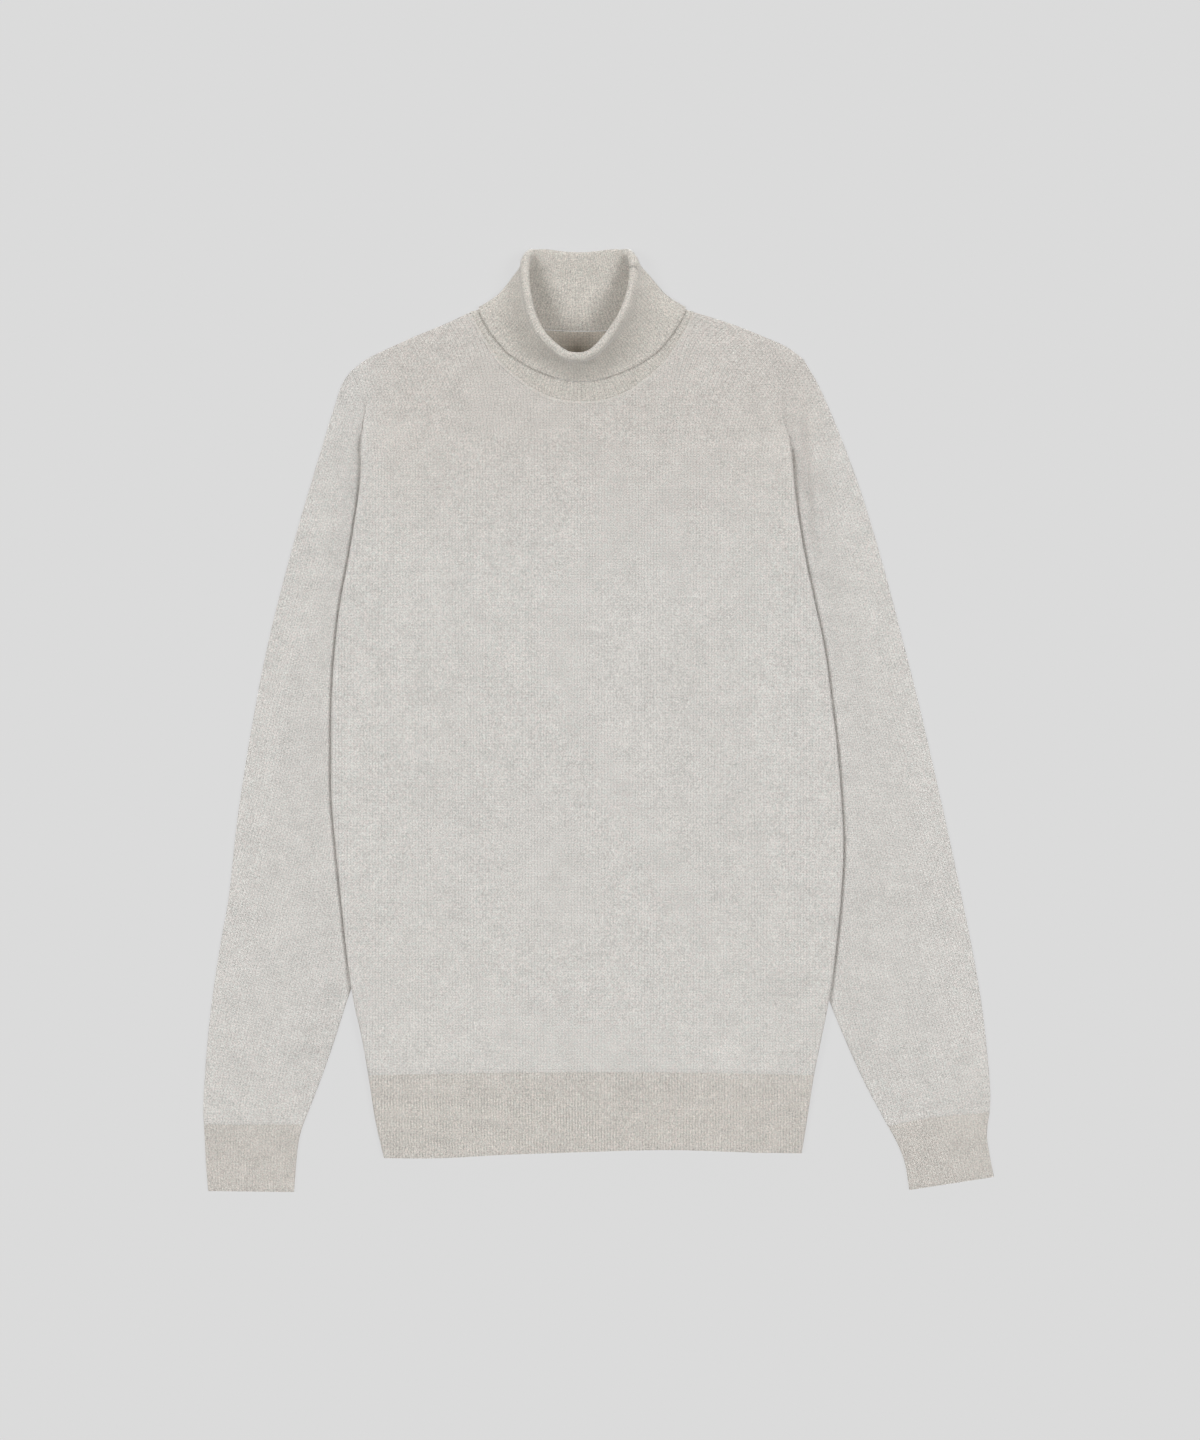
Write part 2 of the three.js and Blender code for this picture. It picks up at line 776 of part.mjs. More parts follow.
function collar() {
  const loops = [0, 1, 2, 3].map((height) => loop(height));
  const bare = [...COLLAR.map((row) => row[12])];
  const bareRound = [...bare, ...bare.slice(1, -1).reverse()];
  const count = loops[0].length;
  const front = (i) => i < CREASE || i >= count - CREASE;
  // Two stations between the table's rows on the front, one on the back.
  const stations = [];
  for (let i = 0; i < count; i += 1) {
    stations.push(i);
    if (front(i)) stations.push(i + 0.5);
  }
  const curves = loops.map((line) => new THREE.CatmullRomCurve3(line, true, "centripetal"));
  const straight = (line, at) => {
    const i = Math.floor(at);
    return line[i].clone().lerp(line[(i + 1) % count], at - i);
  };
  const stand = (at, share) => {
    const knots = curves.map((path, height) =>
      height ? path.getPoint(at / count) : straight(loops[0], at),
    );
    return new THREE.CatmullRomCurve3(knots, false, "catmullrom", 0.5).getPoint(share);
  };
  const outward = (at, share) => {
    const round = stand((at + 0.25) % count, share).sub(stand((at + count - 0.25) % count, share));
    const up = stand(at, Math.min(1, share + 0.04)).sub(stand(at, Math.max(0, share - 0.04)));
    return round.cross(up).normalize();
  };
  const thick = COLLAR_WALL / 2;
  const up = [0, 0.15, 0.3, 0.46, 0.64, 0.82, 1];
  const down = [0.12, 0.3, 0.52, 0.76, 1];
  const face = [];
  const back = [];
  stations.forEach((at) => {
    const i = Math.floor(at);
    const bareHere = lerp(bareRound[i], bareRound[(i + 1) % count], at - i);
    const isBack = smoothstep(Math.min(at, count - at), CREASE - 0.5, CREASE + 2);
    const around = Math.min(at, count - at);
    const flare = FLARE * (1 - smoothstep(around, 5, 6.8));
    const gap = (share) => {
      const far = (1 - share) / (1 - bareHere);
      const free = DOUBLE + (ROLL - DOUBLE) * Math.exp(-((far / 0.16) ** 2)) + flare * far ** 3;
      const flat = clamp(stand(at, share).z - thick, DOUBLE - 0.1, 6.5);
      return lerp(free, flat, isBack);
    };
    const inner = [];
    const outer = [];
    up.forEach((share) => {
      const [p, n] = [stand(at, share), outward(at, share)];
      inner.push(p.clone().addScaledVector(n, -thick));
      outer.push(p.clone().addScaledVector(n, thick));
    });
    const [p, n] = [stand(at, 1), outward(at, 1)];
    const tip = p.clone().sub(stand(at, 0.96)).normalize();
    const radius = gap(1) / 2;
    const middle = p.clone().addScaledVector(n, radius);
    for (let k = 1; k < RIM_STEPS; k += 1) {
      const a = (Math.PI * k) / RIM_STEPS;
      const direction = n.clone().multiplyScalar(-Math.cos(a)).addScaledVector(tip, Math.sin(a));
      inner.push(middle.clone().addScaledVector(direction, radius + thick));
      outer.push(middle.clone().addScaledVector(direction, radius - thick));
    }
    [0, ...down].forEach((share) => {
      const height = lerp(1, bareHere, share);
      const [q, m] = [stand(at, height), outward(at, height).lerp(point(0, 0, -1), isBack)];
      m.normalize();
      q.addScaledVector(m, gap(height));
      q.z = Math.max(q.z, thick);
      inner.push(q.clone().addScaledVector(m, thick));
      outer.push(q.clone().addScaledVector(m, -thick));
    });
    face.push(inner);
    back.push(outer);
  });
  return { face, back };
}

// The sweater

const WOOL = 0xcecbc6;
const WOOL_RIB = 0xc4c0ba;
const pieces = [
  ["front_panel", WOOL, frontPanel()],
  ["back_panel", WOOL, backPanel()],
  ["hem_rib_front", WOOL_RIB, hemRibFront()],
  ["hem_rib_back", WOOL_RIB, hemRibBack()],
  ["sleeve_left", WOOL, sleeve("left"), { closedColumns: true }],
  ["sleeve_right", WOOL, sleeve("right"), { closedColumns: true }],
  ["cuff_left", WOOL_RIB, cuff("left"), { closedColumns: true }],
  ["cuff_right", WOOL_RIB, cuff("right"), { closedColumns: true }],
  ["collar", WOOL_RIB, collar(), { closedRows: true }],
];

const group = new THREE.Group();
group.name = "turtleneck_sweater";
pieces.forEach(([name, colour, grids, closed]) => {
  group.add(wall(name, colour, grids.face, grids.back, closed));
});

export default group;
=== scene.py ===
# %% [markdown]
# Turtleneck sweater laid flat. The real thing is a fine wool knit: a plain knitted body and
# sleeves, ribbed hem and cuffs, and a collar that folds down over itself. It lies on its back with
# both sides of the body folded under and the sleeves below them, and the camera looks straight
# down. Each piece of cloth is one thin sheet that is bent into shape, because that is how the
# real one gets its soft folded edges.

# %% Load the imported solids
import math
from functools import partial

import bmesh
import bpy
import numpy as np
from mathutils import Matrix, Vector


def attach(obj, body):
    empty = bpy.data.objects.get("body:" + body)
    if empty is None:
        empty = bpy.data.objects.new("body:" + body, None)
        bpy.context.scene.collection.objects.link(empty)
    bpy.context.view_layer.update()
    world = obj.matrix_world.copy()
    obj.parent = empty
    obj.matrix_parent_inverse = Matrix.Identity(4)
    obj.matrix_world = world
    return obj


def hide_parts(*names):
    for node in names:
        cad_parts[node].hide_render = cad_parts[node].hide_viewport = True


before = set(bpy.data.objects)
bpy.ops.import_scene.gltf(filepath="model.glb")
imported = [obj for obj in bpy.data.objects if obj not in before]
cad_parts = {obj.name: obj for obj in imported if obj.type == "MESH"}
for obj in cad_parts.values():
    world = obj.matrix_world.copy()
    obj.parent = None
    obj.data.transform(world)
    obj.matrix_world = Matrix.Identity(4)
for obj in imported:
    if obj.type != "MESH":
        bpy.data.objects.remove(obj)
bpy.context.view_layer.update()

print("solids:", sorted(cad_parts))

# %% [markdown]
# The photograph was taken from straight above. A long lens far away keeps the outline nearly
# free of perspective, so the camera sits 3.2 m up, and its lens is worked out from the 1.18 m of
# table that the picture is high.

# %% Camera
MM = 0.001
CAMERA_UP = 3.2
PHOTO_PIXELS_HIGH = 1440
PHOTO_PIXEL = 0.82  # mm of table that one pixel of the photograph shows
PICTURE_HIGH = PHOTO_PIXELS_HIGH * PHOTO_PIXEL * MM
PICTURE_MIDDLE = (0.0011, 0.0001)  # metres
SENSOR_WIDTH = 36

camera_data = bpy.data.cameras.new("camera")
camera_data.sensor_width = SENSOR_WIDTH
camera_data.lens = SENSOR_WIDTH * CAMERA_UP / PICTURE_HIGH
camera_data.clip_end = 20
camera = bpy.data.objects.new("camera", camera_data)
camera.location = (*PICTURE_MIDDLE, CAMERA_UP)
bpy.context.scene.collection.objects.link(camera)
bpy.context.scene.camera = camera
print("lens", round(camera_data.lens, 1), "mm")

# %% [markdown]
# A smooth line through a few measured points gives every edge of the sweater. Two helpers do most
# of it: one reads a curve at a height, the other walks along a line. A third one eases from one
# level to the next, as cloth does.


# %% Helpers for smooth lines
LINE_STEPS = 1200  # short steps that a line's length is measured in


def smooth_through(xs, ys):
    """A smooth function through points."""
    order = np.argsort(xs)
    x, y = np.array(xs, float)[order], np.array(ys, float)[order]
    slope = np.diff(y) / np.diff(x)
    tangent = np.concatenate([[slope[0]], np.zeros(len(x) - 2), [slope[-1]]])
    for i in range(1, len(x) - 1):
        a, b = x[i] - x[i - 1], x[i + 1] - x[i]
        tangent[i] = (slope[i - 1] * b + slope[i] * a) / (a + b)

    def at(value):
        v = np.clip(value, x[0], x[-1])
        i = np.clip(np.searchsorted(x, v, side="right") - 1, 0, len(x) - 2)
        h = x[i + 1] - x[i]
        t = (v - x[i]) / h
        return (
            y[i] * (1 + 2 * t) * (1 - t) ** 2
            + h * tangent[i] * t * (1 - t) ** 2
            + y[i + 1] * t * t * (3 - 2 * t)
            - h * tangent[i + 1] * t * t * (1 - t)
        )

    return at


def length_along(points):
    """The distance from the first point to each point, along the line."""
    return np.concatenate([[0], np.cumsum(np.linalg.norm(np.diff(points, axis=0), axis=1))])


def line_through(points, closed=False):
    """Two functions of a smooth line through points: by share of its length, and by index."""
    p = np.array(points, float)
    if closed:
        p = np.vstack([p, p[:1]])
    steps = np.linalg.norm(np.diff(p, axis=0), axis=1) ** 0.5
    knots = np.concatenate([[0], np.cumsum(steps)])
    if closed:
        ring = np.vstack([p[-3:-1], p, p[1:3]])
        before = knots[-3:-1] - knots[-1]
        after = knots[-1] + knots[1:3]
        k = np.concatenate([before, knots, after])
        parts = [smooth_through(k, ring[:, i]) for i in range(p.shape[1])]
    else:
        parts = [smooth_through(knots, p[:, i]) for i in range(p.shape[1])]

    def by_knot(value):
        return np.stack([f(value) for f in parts], axis=-1)

    fine_knots = np.linspace(0, knots[-1], LINE_STEPS)
    run = length_along(by_knot(fine_knots))

    def by_length(share):
        return by_knot(np.interp(np.asarray(share) * run[-1], run, fine_knots))

    def by_index(index):
        return by_knot(np.interp(index, np.arange(len(knots)), knots))

    return by_length, by_index


def ease(value, low, high):
    """0 below low, 1 above high, smooth between."""
    t = np.clip((value - low) / (high - low), 0, 1)
    return t * t * (3 - 2 * t)


# %% [markdown]
# The outline in millimetres. The body's sides are folded under, so what looks like its edge is a
# fold. Each row gives, at one height, how far out the fold is on the wearer's left and right, how
# far in the hidden edge of each sleeve reaches, and how much of the body is folded under. Both
# sides are counted outwards from the middle, here and in the tables below.

# %% Outline of the body
SIDES = [
    # height, fold on the left and right, hidden sleeve edge on the left and right, folded under
    (260, 155.0, 192.0, 166, 200, 0),
    (233, 157.0, 194.5, 164, 199, 0),
    (197, 159.8, 195.1, 157, 190, 4),
    (180, 161.7, 197.2, 152.5, 184.5, 10),
    (150, 166.0, 201.8, 145, 175, 24),
    (120, 171.8, 207.0, 134, 164, 38),
    (98, 176.5, 211.1, 124.5, 158.8, 45),
    (57, 185.1, 216.0, 128, 158.5, 49),
    (16, 190.5, 218.5, 133, 160, 50),
    (-25, 195.4, 218.9, 138, 161.5, 50),
    (-66, 198.7, 218.5, 144, 164.5, 50),
    (-107, 200.3, 215.0, 152, 169, 49),
    (-148, 198.1, 210.7, 161, 175.5, 47),
    (-189, 194.0, 206.4, 175, 189, 45),
    (-230, 188.4, 200.6, 189, 205.6, 43),
    (-262, 182.1, 193.6, 202, 216.2, 42),
    (-293, 176.1, 188.4, 216, 227, 41),
    (-328, 170.8, 183.0, 234.5, 241, 40),
    (-360, 165.6, 175.7, 250, 248, 40),
]
SIGN = {"left": 1, "right": -1}
heights, fold_left, fold_right, sleeve_left, sleeve_right, under = zip(*SIDES)
FOLD_AT = {
    "left": smooth_through(heights, fold_left),
    "right": smooth_through(heights, fold_right),
}
SLEEVE_AT = {
    "left": smooth_through(heights, sleeve_left),
    "right": smooth_through(heights, sleeve_right),
}
folded_under = smooth_through(heights, under)

# The armhole's line goes from the underarm to the shoulder's point, and the shoulder's line from
# there to the neck.
UNDERARM = {"left": 233, "right": 245}
ARMHOLE = {
    "left": [
        (156.9, 233),
        (152.8, 244.4),
        (150.3, 257),
        (151.6, 270),
        (157.5, 282),
        (168.3, 295.2),
    ],
    "right": [
        (194.0, 245),
        (191.9, 254),
        (192.9, 263),
        (195.7, 271),
        (199.3, 279),
        (202.3, 286.2),
    ],
}
SHOULDER = {
    "left": [(168.3, 295.2), (155.1, 305.0), (133.3, 314.9), (108.2, 324.7)],
    "right": [(202.3, 286.2), (190.8, 295.2), (171.0, 305.0), (149.0, 314.9), (125.2, 324.7)],
}
# The hem's lower edge, from the wearer's right to the left, and the height of the seam above it,
# which bows up a little in the middle.
HEM = [
    (-176, -358.4),
    (-142, -358.7),
    (-77, -356.1),
    (-11, -353.8),
    (54, -352.2),
    (120, -353.6),
    (167, -354.6),
]
HEM_SEAM = -290.6
HEM_SEAM_BOW = 2.4
print("outline:", len(SIDES), "rows down the sides,", len(HEM), "points along the hem")

# %% [markdown]
# Each layer's height comes from what lies below it. The sleeves lie on the table, the tucked part
# of the body lies on them, then the back and then the front. Away from the sides the stack comes
# down to two layers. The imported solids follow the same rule, only their folds come up over a
# longer stretch below the underarm, so the sheets stay close to them.

# %% Heights of the layers
WALL = 1.3  # one layer of knit
INSIDE = 0.6  # air inside a sleeve or the body, where it lies flat
LIE = 0.7  # air between a layer and what it lies on
AIR = 0.5  # more air below the front, where the sides are folded
SLEEVE_TOP = 2 * WALL + INSIDE
OVER_SLEEVE = SLEEVE_TOP + LIE
FOLD = (4 * WALL + LIE + INSIDE + AIR) / 2  # outer radius of a side fold
SETTLE = 56  # the width over which a layer comes down beside what it lies on
BEFORE_SLEEVE = 9  # it starts to come down this far inside the sleeve's hidden edge
BESIDE_TUCK = 8  # and this far beside the tucked part
NARROWEST_TUCK = 4
RISE = 20  # the height below the underarm over which the stack comes up


def by_side(x, left, right):
    """One value where x is on the wearer's left, the other on the right."""
    return np.where(x > 0, left, right)


def risen(x, y):
    """How far the stack has come up below the underarm, from 0 to 1."""
    return ease(by_side(x, UNDERARM["left"], UNDERARM["right"]) - y, 0, RISE)


def over_sleeve(x, y):
    """How high the sleeve lifts what lies on it."""
    edge = by_side(x, SLEEVE_AT["left"](y), SLEEVE_AT["right"](y))
    return OVER_SLEEVE * (1 - ease(edge - BEFORE_SLEEVE - np.abs(x), 0, SETTLE)) * risen(x, y)


def over_tuck(x, y):
    """1 where the side is tucked under, 0 in the middle of the body."""
    fold = by_side(x, FOLD_AT["left"](y), FOLD_AT["right"](y))
    width = np.maximum(folded_under(y), NARROWEST_TUCK) + FOLD + BESIDE_TUCK
    return (1 - ease(fold - np.abs(x), width, width + SETTLE)) * risen(x, y)


def back_under(x, y):
    return over_sleeve(x, y) + over_tuck(x, y) * (WALL + LIE)


def back_top(x, y):
    return back_under(x, y) + WALL * (1 + over_tuck(x, y))


def front_top(x, y):
    return back_top(x, y) + INSIDE + AIR * risen(x, y) + WALL


print("side fold", round(2 * FOLD, 1), "mm high, on", round(OVER_SLEEVE, 1), "mm of sleeve")

# %% [markdown]
# A knitted panel starts as a flat grid, as it comes off the machine, and every point of the grid
# is then moved to where it lies. The grid's own flat measures are kept as a UV map in metres, so
# that the knit follows the cloth round each fold.


# %% Helper that bends a flat grid into cloth
WELD = 0.00002  # points nearer to each other than this become one


def lay_cloth(name, places, flat, closed=False):
    """A sheet from a grid operator. places and flat hold a point for each row and column."""
    rows, columns = places.shape[:2]
    bm = bmesh.new()
    bmesh.ops.create_grid(bm, x_segments=columns - 1, y_segments=rows - 1, size=0.5)
    uv = bm.loops.layers.uv.new("cloth")
    spot = {}
    for v in bm.verts:
        column = round((v.co.x + 0.5) * (columns - 1))
        row = round((v.co.y + 0.5) * (rows - 1))
        spot[v.index] = (row, column)
    for face in bm.faces:
        for loop in face.loops:
            loop[uv].uv = flat[spot[loop.vert.index]]
    for v in bm.verts:
        v.co = Vector(places[spot[v.index]]) * MM
    if closed:
        bmesh.ops.remove_doubles(bm, verts=bm.verts, dist=WELD)
    bmesh.ops.recalc_face_normals(bm, faces=bm.faces)
    mesh = bpy.data.meshes.new(name)
    for face in bm.faces:
        face.smooth = True
    bm.to_mesh(mesh)
    bm.free()
    piece = bpy.data.objects.new(name, mesh)
    bpy.context.scene.collection.objects.link(piece)
    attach(piece, "root")
    return piece


def thicken(piece, wall):
    """Gives the sheet its real thickness with a modifier, half of it on each side."""
    solid = piece.modifiers.new("thickness", "SOLIDIFY")
    solid.thickness = wall * MM
    solid.offset = 0
    solid.use_even_offset = False
    normals = piece.modifiers.new("even_normals", "WEIGHTED_NORMAL")
    normals.weight = 90


def area_of(piece):
    """The area of one side of the cloth, before it gets its thickness."""
    return sum(p.area for p in piece.data.polygons)


# %% [markdown]
# The neckline's points also belong to the collar: each row of this table goes up the collar's
# stand from the neckline to the rim at one place round the neck, from the centre front over the
# side crease to the centre back. It has a point for each of four heights, and the share of the
# stand that the turned down part leaves bare.

# %% Collar table
NECK_X = -13.5  # the neckline's middle
RIM_X = -16.2  # the rim's middle
NECK_HALF = 92  # about half the neckline's width
NECK_CLEAR = 0.5  # between the collar's foot and a panel's neckline
EDGE_STEPS = 60  # points along a shoulder
STAND = [
    # four times the distance from the middle, y and z, then the bare share
    (0, 261.0, 2.55, 0, 278.3, 8.6, 0, 290.4, 25.5, 0, 296.4, 45.0, 0.33),
    (18, 262.4, 2.55, 13.2, 279.7, 8.6, 9.9, 291.8, 25.5, 8, 297.8, 45.0, 0.325),
    (36, 268.8, 2.55, 26.4, 286.0, 8.6, 19.8, 298.0, 25.2, 16.5, 304.0, 44.2, 0.28),
    (52, 280.0, 2.55, 39.0, 296.4, 8.6, 29.8, 308.0, 24.4, 25.3, 313.8, 42.0, 0.2),
    (67.5, 294.0, 2.55, 51, 310.3, 8.4, 39.6, 321.8, 22.0, 33.7, 328.2, 37.5, 0.14),
    (79, 311.0, 2.55, 60, 326.9, 8.0, 46.4, 337.8, 18.8, 38.8, 344.4, 31.0, 0.1),
    (87.5, 326.0, 2.55, 64.8, 338.2, 7.4, 50.2, 353.0, 15.2, 41.2, 360.0, 24.0, 0.09),
    (91.2, 334.2, 2.1, 66.4, 347.0, 5.6, 50.6, 363.6, 9.6, 41.0, 373.2, 16.0, 0.1),
    (87.5, 332.8, 0.8, 61.5, 344.6, 4.0, 47.0, 363.2, 6.4, 38.6, 378.4, 10.2, 0.14),
    (79, 330.0, 0.75, 56, 342.6, 3.4, 43.5, 363.6, 4.1, 35.6, 381.2, 6.6, 0.2),
    (67.5, 326.6, 0.75, 48.5, 341.5, 3.4, 38.5, 363.6, 3.9, 31.6, 382.4, 6.0, 0.25),
    (52, 323.0, 0.75, 38, 341.2, 3.4, 30.5, 363.2, 3.9, 25.3, 382.2, 5.9, 0.26),
    (36, 320.7, 0.75, 26.5, 341.0, 3.4, 21.5, 362.6, 3.9, 18, 381.2, 5.8, 0.26),
    (18, 319.4, 0.75, 13.3, 340.6, 3.4, 10.8, 361.9, 3.9, 9, 380.3, 5.7, 0.26),
    (0, 319.0, 0.75, 0, 340.4, 3.4, 0, 361.4, 3.9, 0, 380.0, 5.7, 0.26),
]
CREASE = 7
RIM_LEAN = (-0.8, -1.0, -1.7, -2.2, -1.2, -0.3)  # the front's rim hangs a little to the right


def neck_line(rows, clear):
    """One panel's neckline from the wearer's right to the left, a little outside the collar."""
    left = []
    for dx, y in [row[:2] for row in rows]:
        left.append((NECK_X + dx + clear * dx / NECK_HALF, y - clear * (1 - dx / NECK_HALF)))
    right = [(2 * NECK_X - x, y) for x, y in left[1:]]
    return list(reversed(right)) + left


def top_edge(rows):
    """One panel's upper edge, over both shoulders and round the neck, as a function of x."""
    neck = line_through(neck_line(rows, NECK_CLEAR))[0](np.linspace(0, 1, 2 * EDGE_STEPS))
    right = [(-x, y) for x, y in SHOULDER["right"]]
    left = [(x, y) for x, y in reversed(SHOULDER["left"])]
    right = line_through([*right, tuple(neck[0])])[0](np.linspace(0, 1, EDGE_STEPS))
    left = line_through([tuple(neck[-1]), *left])[0](np.linspace(0, 1, EDGE_STEPS))
    whole = np.vstack([right, neck[1:-1], left])
    return lambda x: np.interp(x, whole[:, 0], whole[:, 1])


front_edge = top_edge(STAND[: CREASE + 1])
back_edge = top_edge(list(reversed(STAND[CREASE:])))
hem_edge = smooth_through([p[0] for p in HEM], [p[1] for p in HEM])
print("front neck", front_edge(NECK_X).round(1), "back neck", back_edge(NECK_X).round(1), "mm")

# %% [markdown]
# The front goes from the hidden side seam, in below the body, round the soft side fold, over the
# top and round the other fold. A profile of one fold, as a distance outwards and a drop, is worked
# out for each row. At the armhole the fold opens out until the cloth is flat. Where it opens, the
# rows lie closer together, because the form changes fastest there.


# %% Helper for the side fold
SEAM_DIP = 0.35  # how deep the armhole's seam pulls the cloth in
UNDERARM_PIT = 1.1  # and how much deeper at the underarm
PIT_HIGH = 26  # it fades over this height above the underarm
DIP_REACH = 1.4  # how far the dip reaches in from the seam
TURN_HIGH = 14  # the height over which the fold closes below the underarm
OPEN_SPREAD = 4.0  # the bend's width where the fold is open
LEAST_TUCK = 1.5  # the tucked part is never narrower than this
LOW_ROWS = 0.84  # the share of rows that lie below the underarm
ROWS_CLOSE_UP = 1.25  # above 1, the rows lie closer together towards the underarm


def turn_at(side, y):
    """How far the side fold has turned under, from 0 at the armhole to 1."""
    return float(ease(UNDERARM[side] - y, 0, TURN_HIGH))


def side_line(side, rows):
    """Points of the visible side edge, from the hem's seam up to the shoulder point."""
    low_rows = int(rows * LOW_ROWS)
    reach = UNDERARM[side] - HEM_SEAM
    drop = reach * (1 - np.linspace(0, 1, low_rows)) ** ROWS_CLOSE_UP
    low = np.stack([FOLD_AT[side](UNDERARM[side] - drop), UNDERARM[side] - drop], axis=-1)
    high = line_through(ARMHOLE[side])[0](np.linspace(0, 1, rows - low_rows + 1))[1:]
    return np.vstack([low, high])


def fold_profile(turn, width, radius, bend_steps, tuck_steps):
    """The bend and the tucked part below it, as distances outwards and drops, and its reach."""
    angle = math.pi * turn
    points = []
    for k in range(bend_steps + 1):
        a = angle * k / bend_steps
        out = radius * math.sin(a) + (1 - turn) * OPEN_SPREAD * k / bend_steps
        points.append((out, radius * (math.cos(a) - 1)))
    end = points[-1]
    for k in range(1, tuck_steps + 1):
        far = max(width * turn, LEAST_TUCK * turn, 0.05) * k / tuck_steps
        points.append((end[0] + math.cos(angle) * far, end[1] - math.sin(angle) * far))
    profile = np.array(points)
    return profile, profile[:, 0].max()


# %% [markdown]
# A row of a panel has three parts: the folded side on the wearer's right, the middle and the
# folded side on the left. The middle follows the heights of the layers, and each folded side
# starts where the middle ends. At the armhole the seam pulls the cloth in, which draws a fine line.


# %% Helper for a body panel
def folded_side(side, end, edge, profile, reach, top):
    """Places and flat measures of one folded side of a row, from the middle's end outwards."""
    x = end[0] + SIGN[side] * profile[1:, 0]
    y = end[1] + (edge[1] - end[1]) * np.clip(profile[1:, 0] / max(reach, 0.01), 0, 1)
    steps = np.linalg.norm(np.diff(profile, axis=0), axis=1)
    part = np.stack([x, y, top(x, y) + profile[1:, 1]], axis=-1)
    return part, np.stack([end[0] + SIGN[side] * np.cumsum(steps), y], axis=-1)


def seam_dip(side, edge, x, turn):
    """How deep the armhole's seam pulls a row in, at each x."""
    near = edge[0] - SIGN[side] * x
    pit = UNDERARM_PIT * (1 - ease(edge[1], UNDERARM[side], UNDERARM[side] + PIT_HIGH))
    dip = (1 - turn) * (SEAM_DIP + pit)
    return dip * np.exp(-((np.maximum(near, 0) / DIP_REACH) ** 2))


def panel(
    sides, lower, upper, columns, top, radius, inset, tuck_scale=1.0, bend=8, tuck=8, wave=None
):
    """Places and flat measures of a folded panel."""
    left, right = sides["left"], sides["right"]
    run = length_along(right)
    places, flat = [], []
    for r in range(len(left)):
        share = run[r] / run[-1]
        turns, folds, reach = {}, {}, {}
        for side in SIGN:
            y = sides[side][r][1]
            turns[side] = turn_at(side, y)
            width = float(folded_under(y)) * tuck_scale
            folds[side], reach[side] = fold_profile(turns[side], width, radius, bend, tuck)

        def level(at):
            return (1 - share) * lower(at) + share * upper(at)

        ends = (-right[r][0], left[r][0])
        off = [right[r][1] - level(ends[0]), left[r][1] - level(ends[1])]
        x = np.linspace(
            ends[0] + inset("right", right[r][1]) + reach["right"],
            ends[1] - inset("left", left[r][1]) - reach["left"],
            columns,
        )
        y = level(x) + off[0] + (off[1] - off[0]) * (x - ends[0]) / (ends[1] - ends[0])
        lift = 0 if wave is None else wave(x, y)
        middle = np.stack([x, y, top(x, y) + lift], axis=-1)
        on_left = folded_side("left", middle[-1], left[r], folds["left"], reach["left"], top)
        on_right = folded_side("right", middle[0], right[r], folds["right"], reach["right"], top)
        row = np.vstack([on_right[0][::-1], middle, on_left[0]])
        for side in SIGN:
            row[:, 2] -= seam_dip(side, sides[side][r], row[:, 0], turns[side])
        places.append(row)
        flat.append(np.vstack([on_right[1][::-1], middle[:, :2], on_left[1]]) * MM)
    return np.array(places), np.array(flat)


# %% [markdown]
# The front itself. Real cloth is never quite level, so two or three very low waves run down it,
# about a millimetre high, where the fold and the hem pull at it.


# %% Front
ROWS = 190  # rows of a body panel's grid
FRONT_COLUMNS = 150
SHEET_MIDDLE = 0.62  # half a layer: the middle of a sheet lies at least this high
PLAY = 0.1  # a sheet is this much thinner than its layer, so that layers never touch
WIDE_WAVE, LONG_WAVE = 0.45, 0.35
LEAN = {"left": 0.9, "right": 0.5}  # how much the stitch columns lean towards the shoulders
LEAN_FROM, LEAN_OVER = 205, 200  # the height where they start to lean, and how slowly


def soft_waves(x, y):
    """Waves of 230 and 360 mm, which fade out at the hem, at the neck and at the sides."""
    wide = WIDE_WAVE * np.sin(x / 37 + 0.6 * np.sin(y / 90)) * ease(y, -280, -120)
    high = LONG_WAVE * np.sin(y / 58 + x / 130 + 1.1) * ease(250 - y, 0, 120)
    return (wide + high) * ease(by_side(x, 155, 190) - np.abs(x), 0, 60)


def hem_seam(x):
    return HEM_SEAM + HEM_SEAM_BOW * (1 - (x / 190) ** 2)


def middle_of_front(x, y):
    return front_top(x, y) - WALL / 2


def front_inset(side, y):
    return WALL / 2 * turn_at(side, y)


def keep_above_table(places):
    places[..., 2] = np.maximum(places[..., 2], SHEET_MIDDLE)


body_sides = {side: side_line(side, ROWS) for side in SIGN}
places, flat = panel(
    body_sides,
    hem_seam,
    front_edge,
    FRONT_COLUMNS,
    middle_of_front,
    FOLD - WALL / 2,
    front_inset,
    wave=soft_waves,
)
keep_above_table(places)
lean = by_side(places[..., 0], LEAN["left"], -LEAN["right"])
lean = lean * ease(np.abs(places[..., 0]), 20, 170)
flat[..., 0] -= lean * np.maximum(places[..., 1] - LEAN_FROM, 0) ** 2 / LEAN_OVER * MM
front = lay_cloth("front", places, flat)
thicken(front, WALL - PLAY)
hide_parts("front_panel")
print("front", round(area_of(front), 3), "square metres")

# %% [markdown]
# The back is the same kind of sheet, folded inside the front's fold, and it lies on the table in
# the middle. Only its inside shows, in the depth of the neck.

# %% Back
BACK_COLUMNS = 90
BACK_WALL = 1.15  # a little thinner, so that it fits inside its own fold
INNER_FOLD = 0.68  # radius of the back's own side fold, inside the front's
FOLD_STEPS = 5  # steps round its fold, and across its tucked part
BACK_TUCK = 0.97  # the back's tucked part is this share of the front's
INSIDE_FRONT = WALL + 0.45  # how far its fold stays inside the front's
INSET_OPENS = (-1, 9)  # from here to here below the underarm it comes to that


def middle_of_back(x, y):
    return back_top(x, y) - SHEET_MIDDLE


def back_inset(side, y):
    return INSIDE_FRONT * float(ease(UNDERARM[side] - y, *INSET_OPENS))


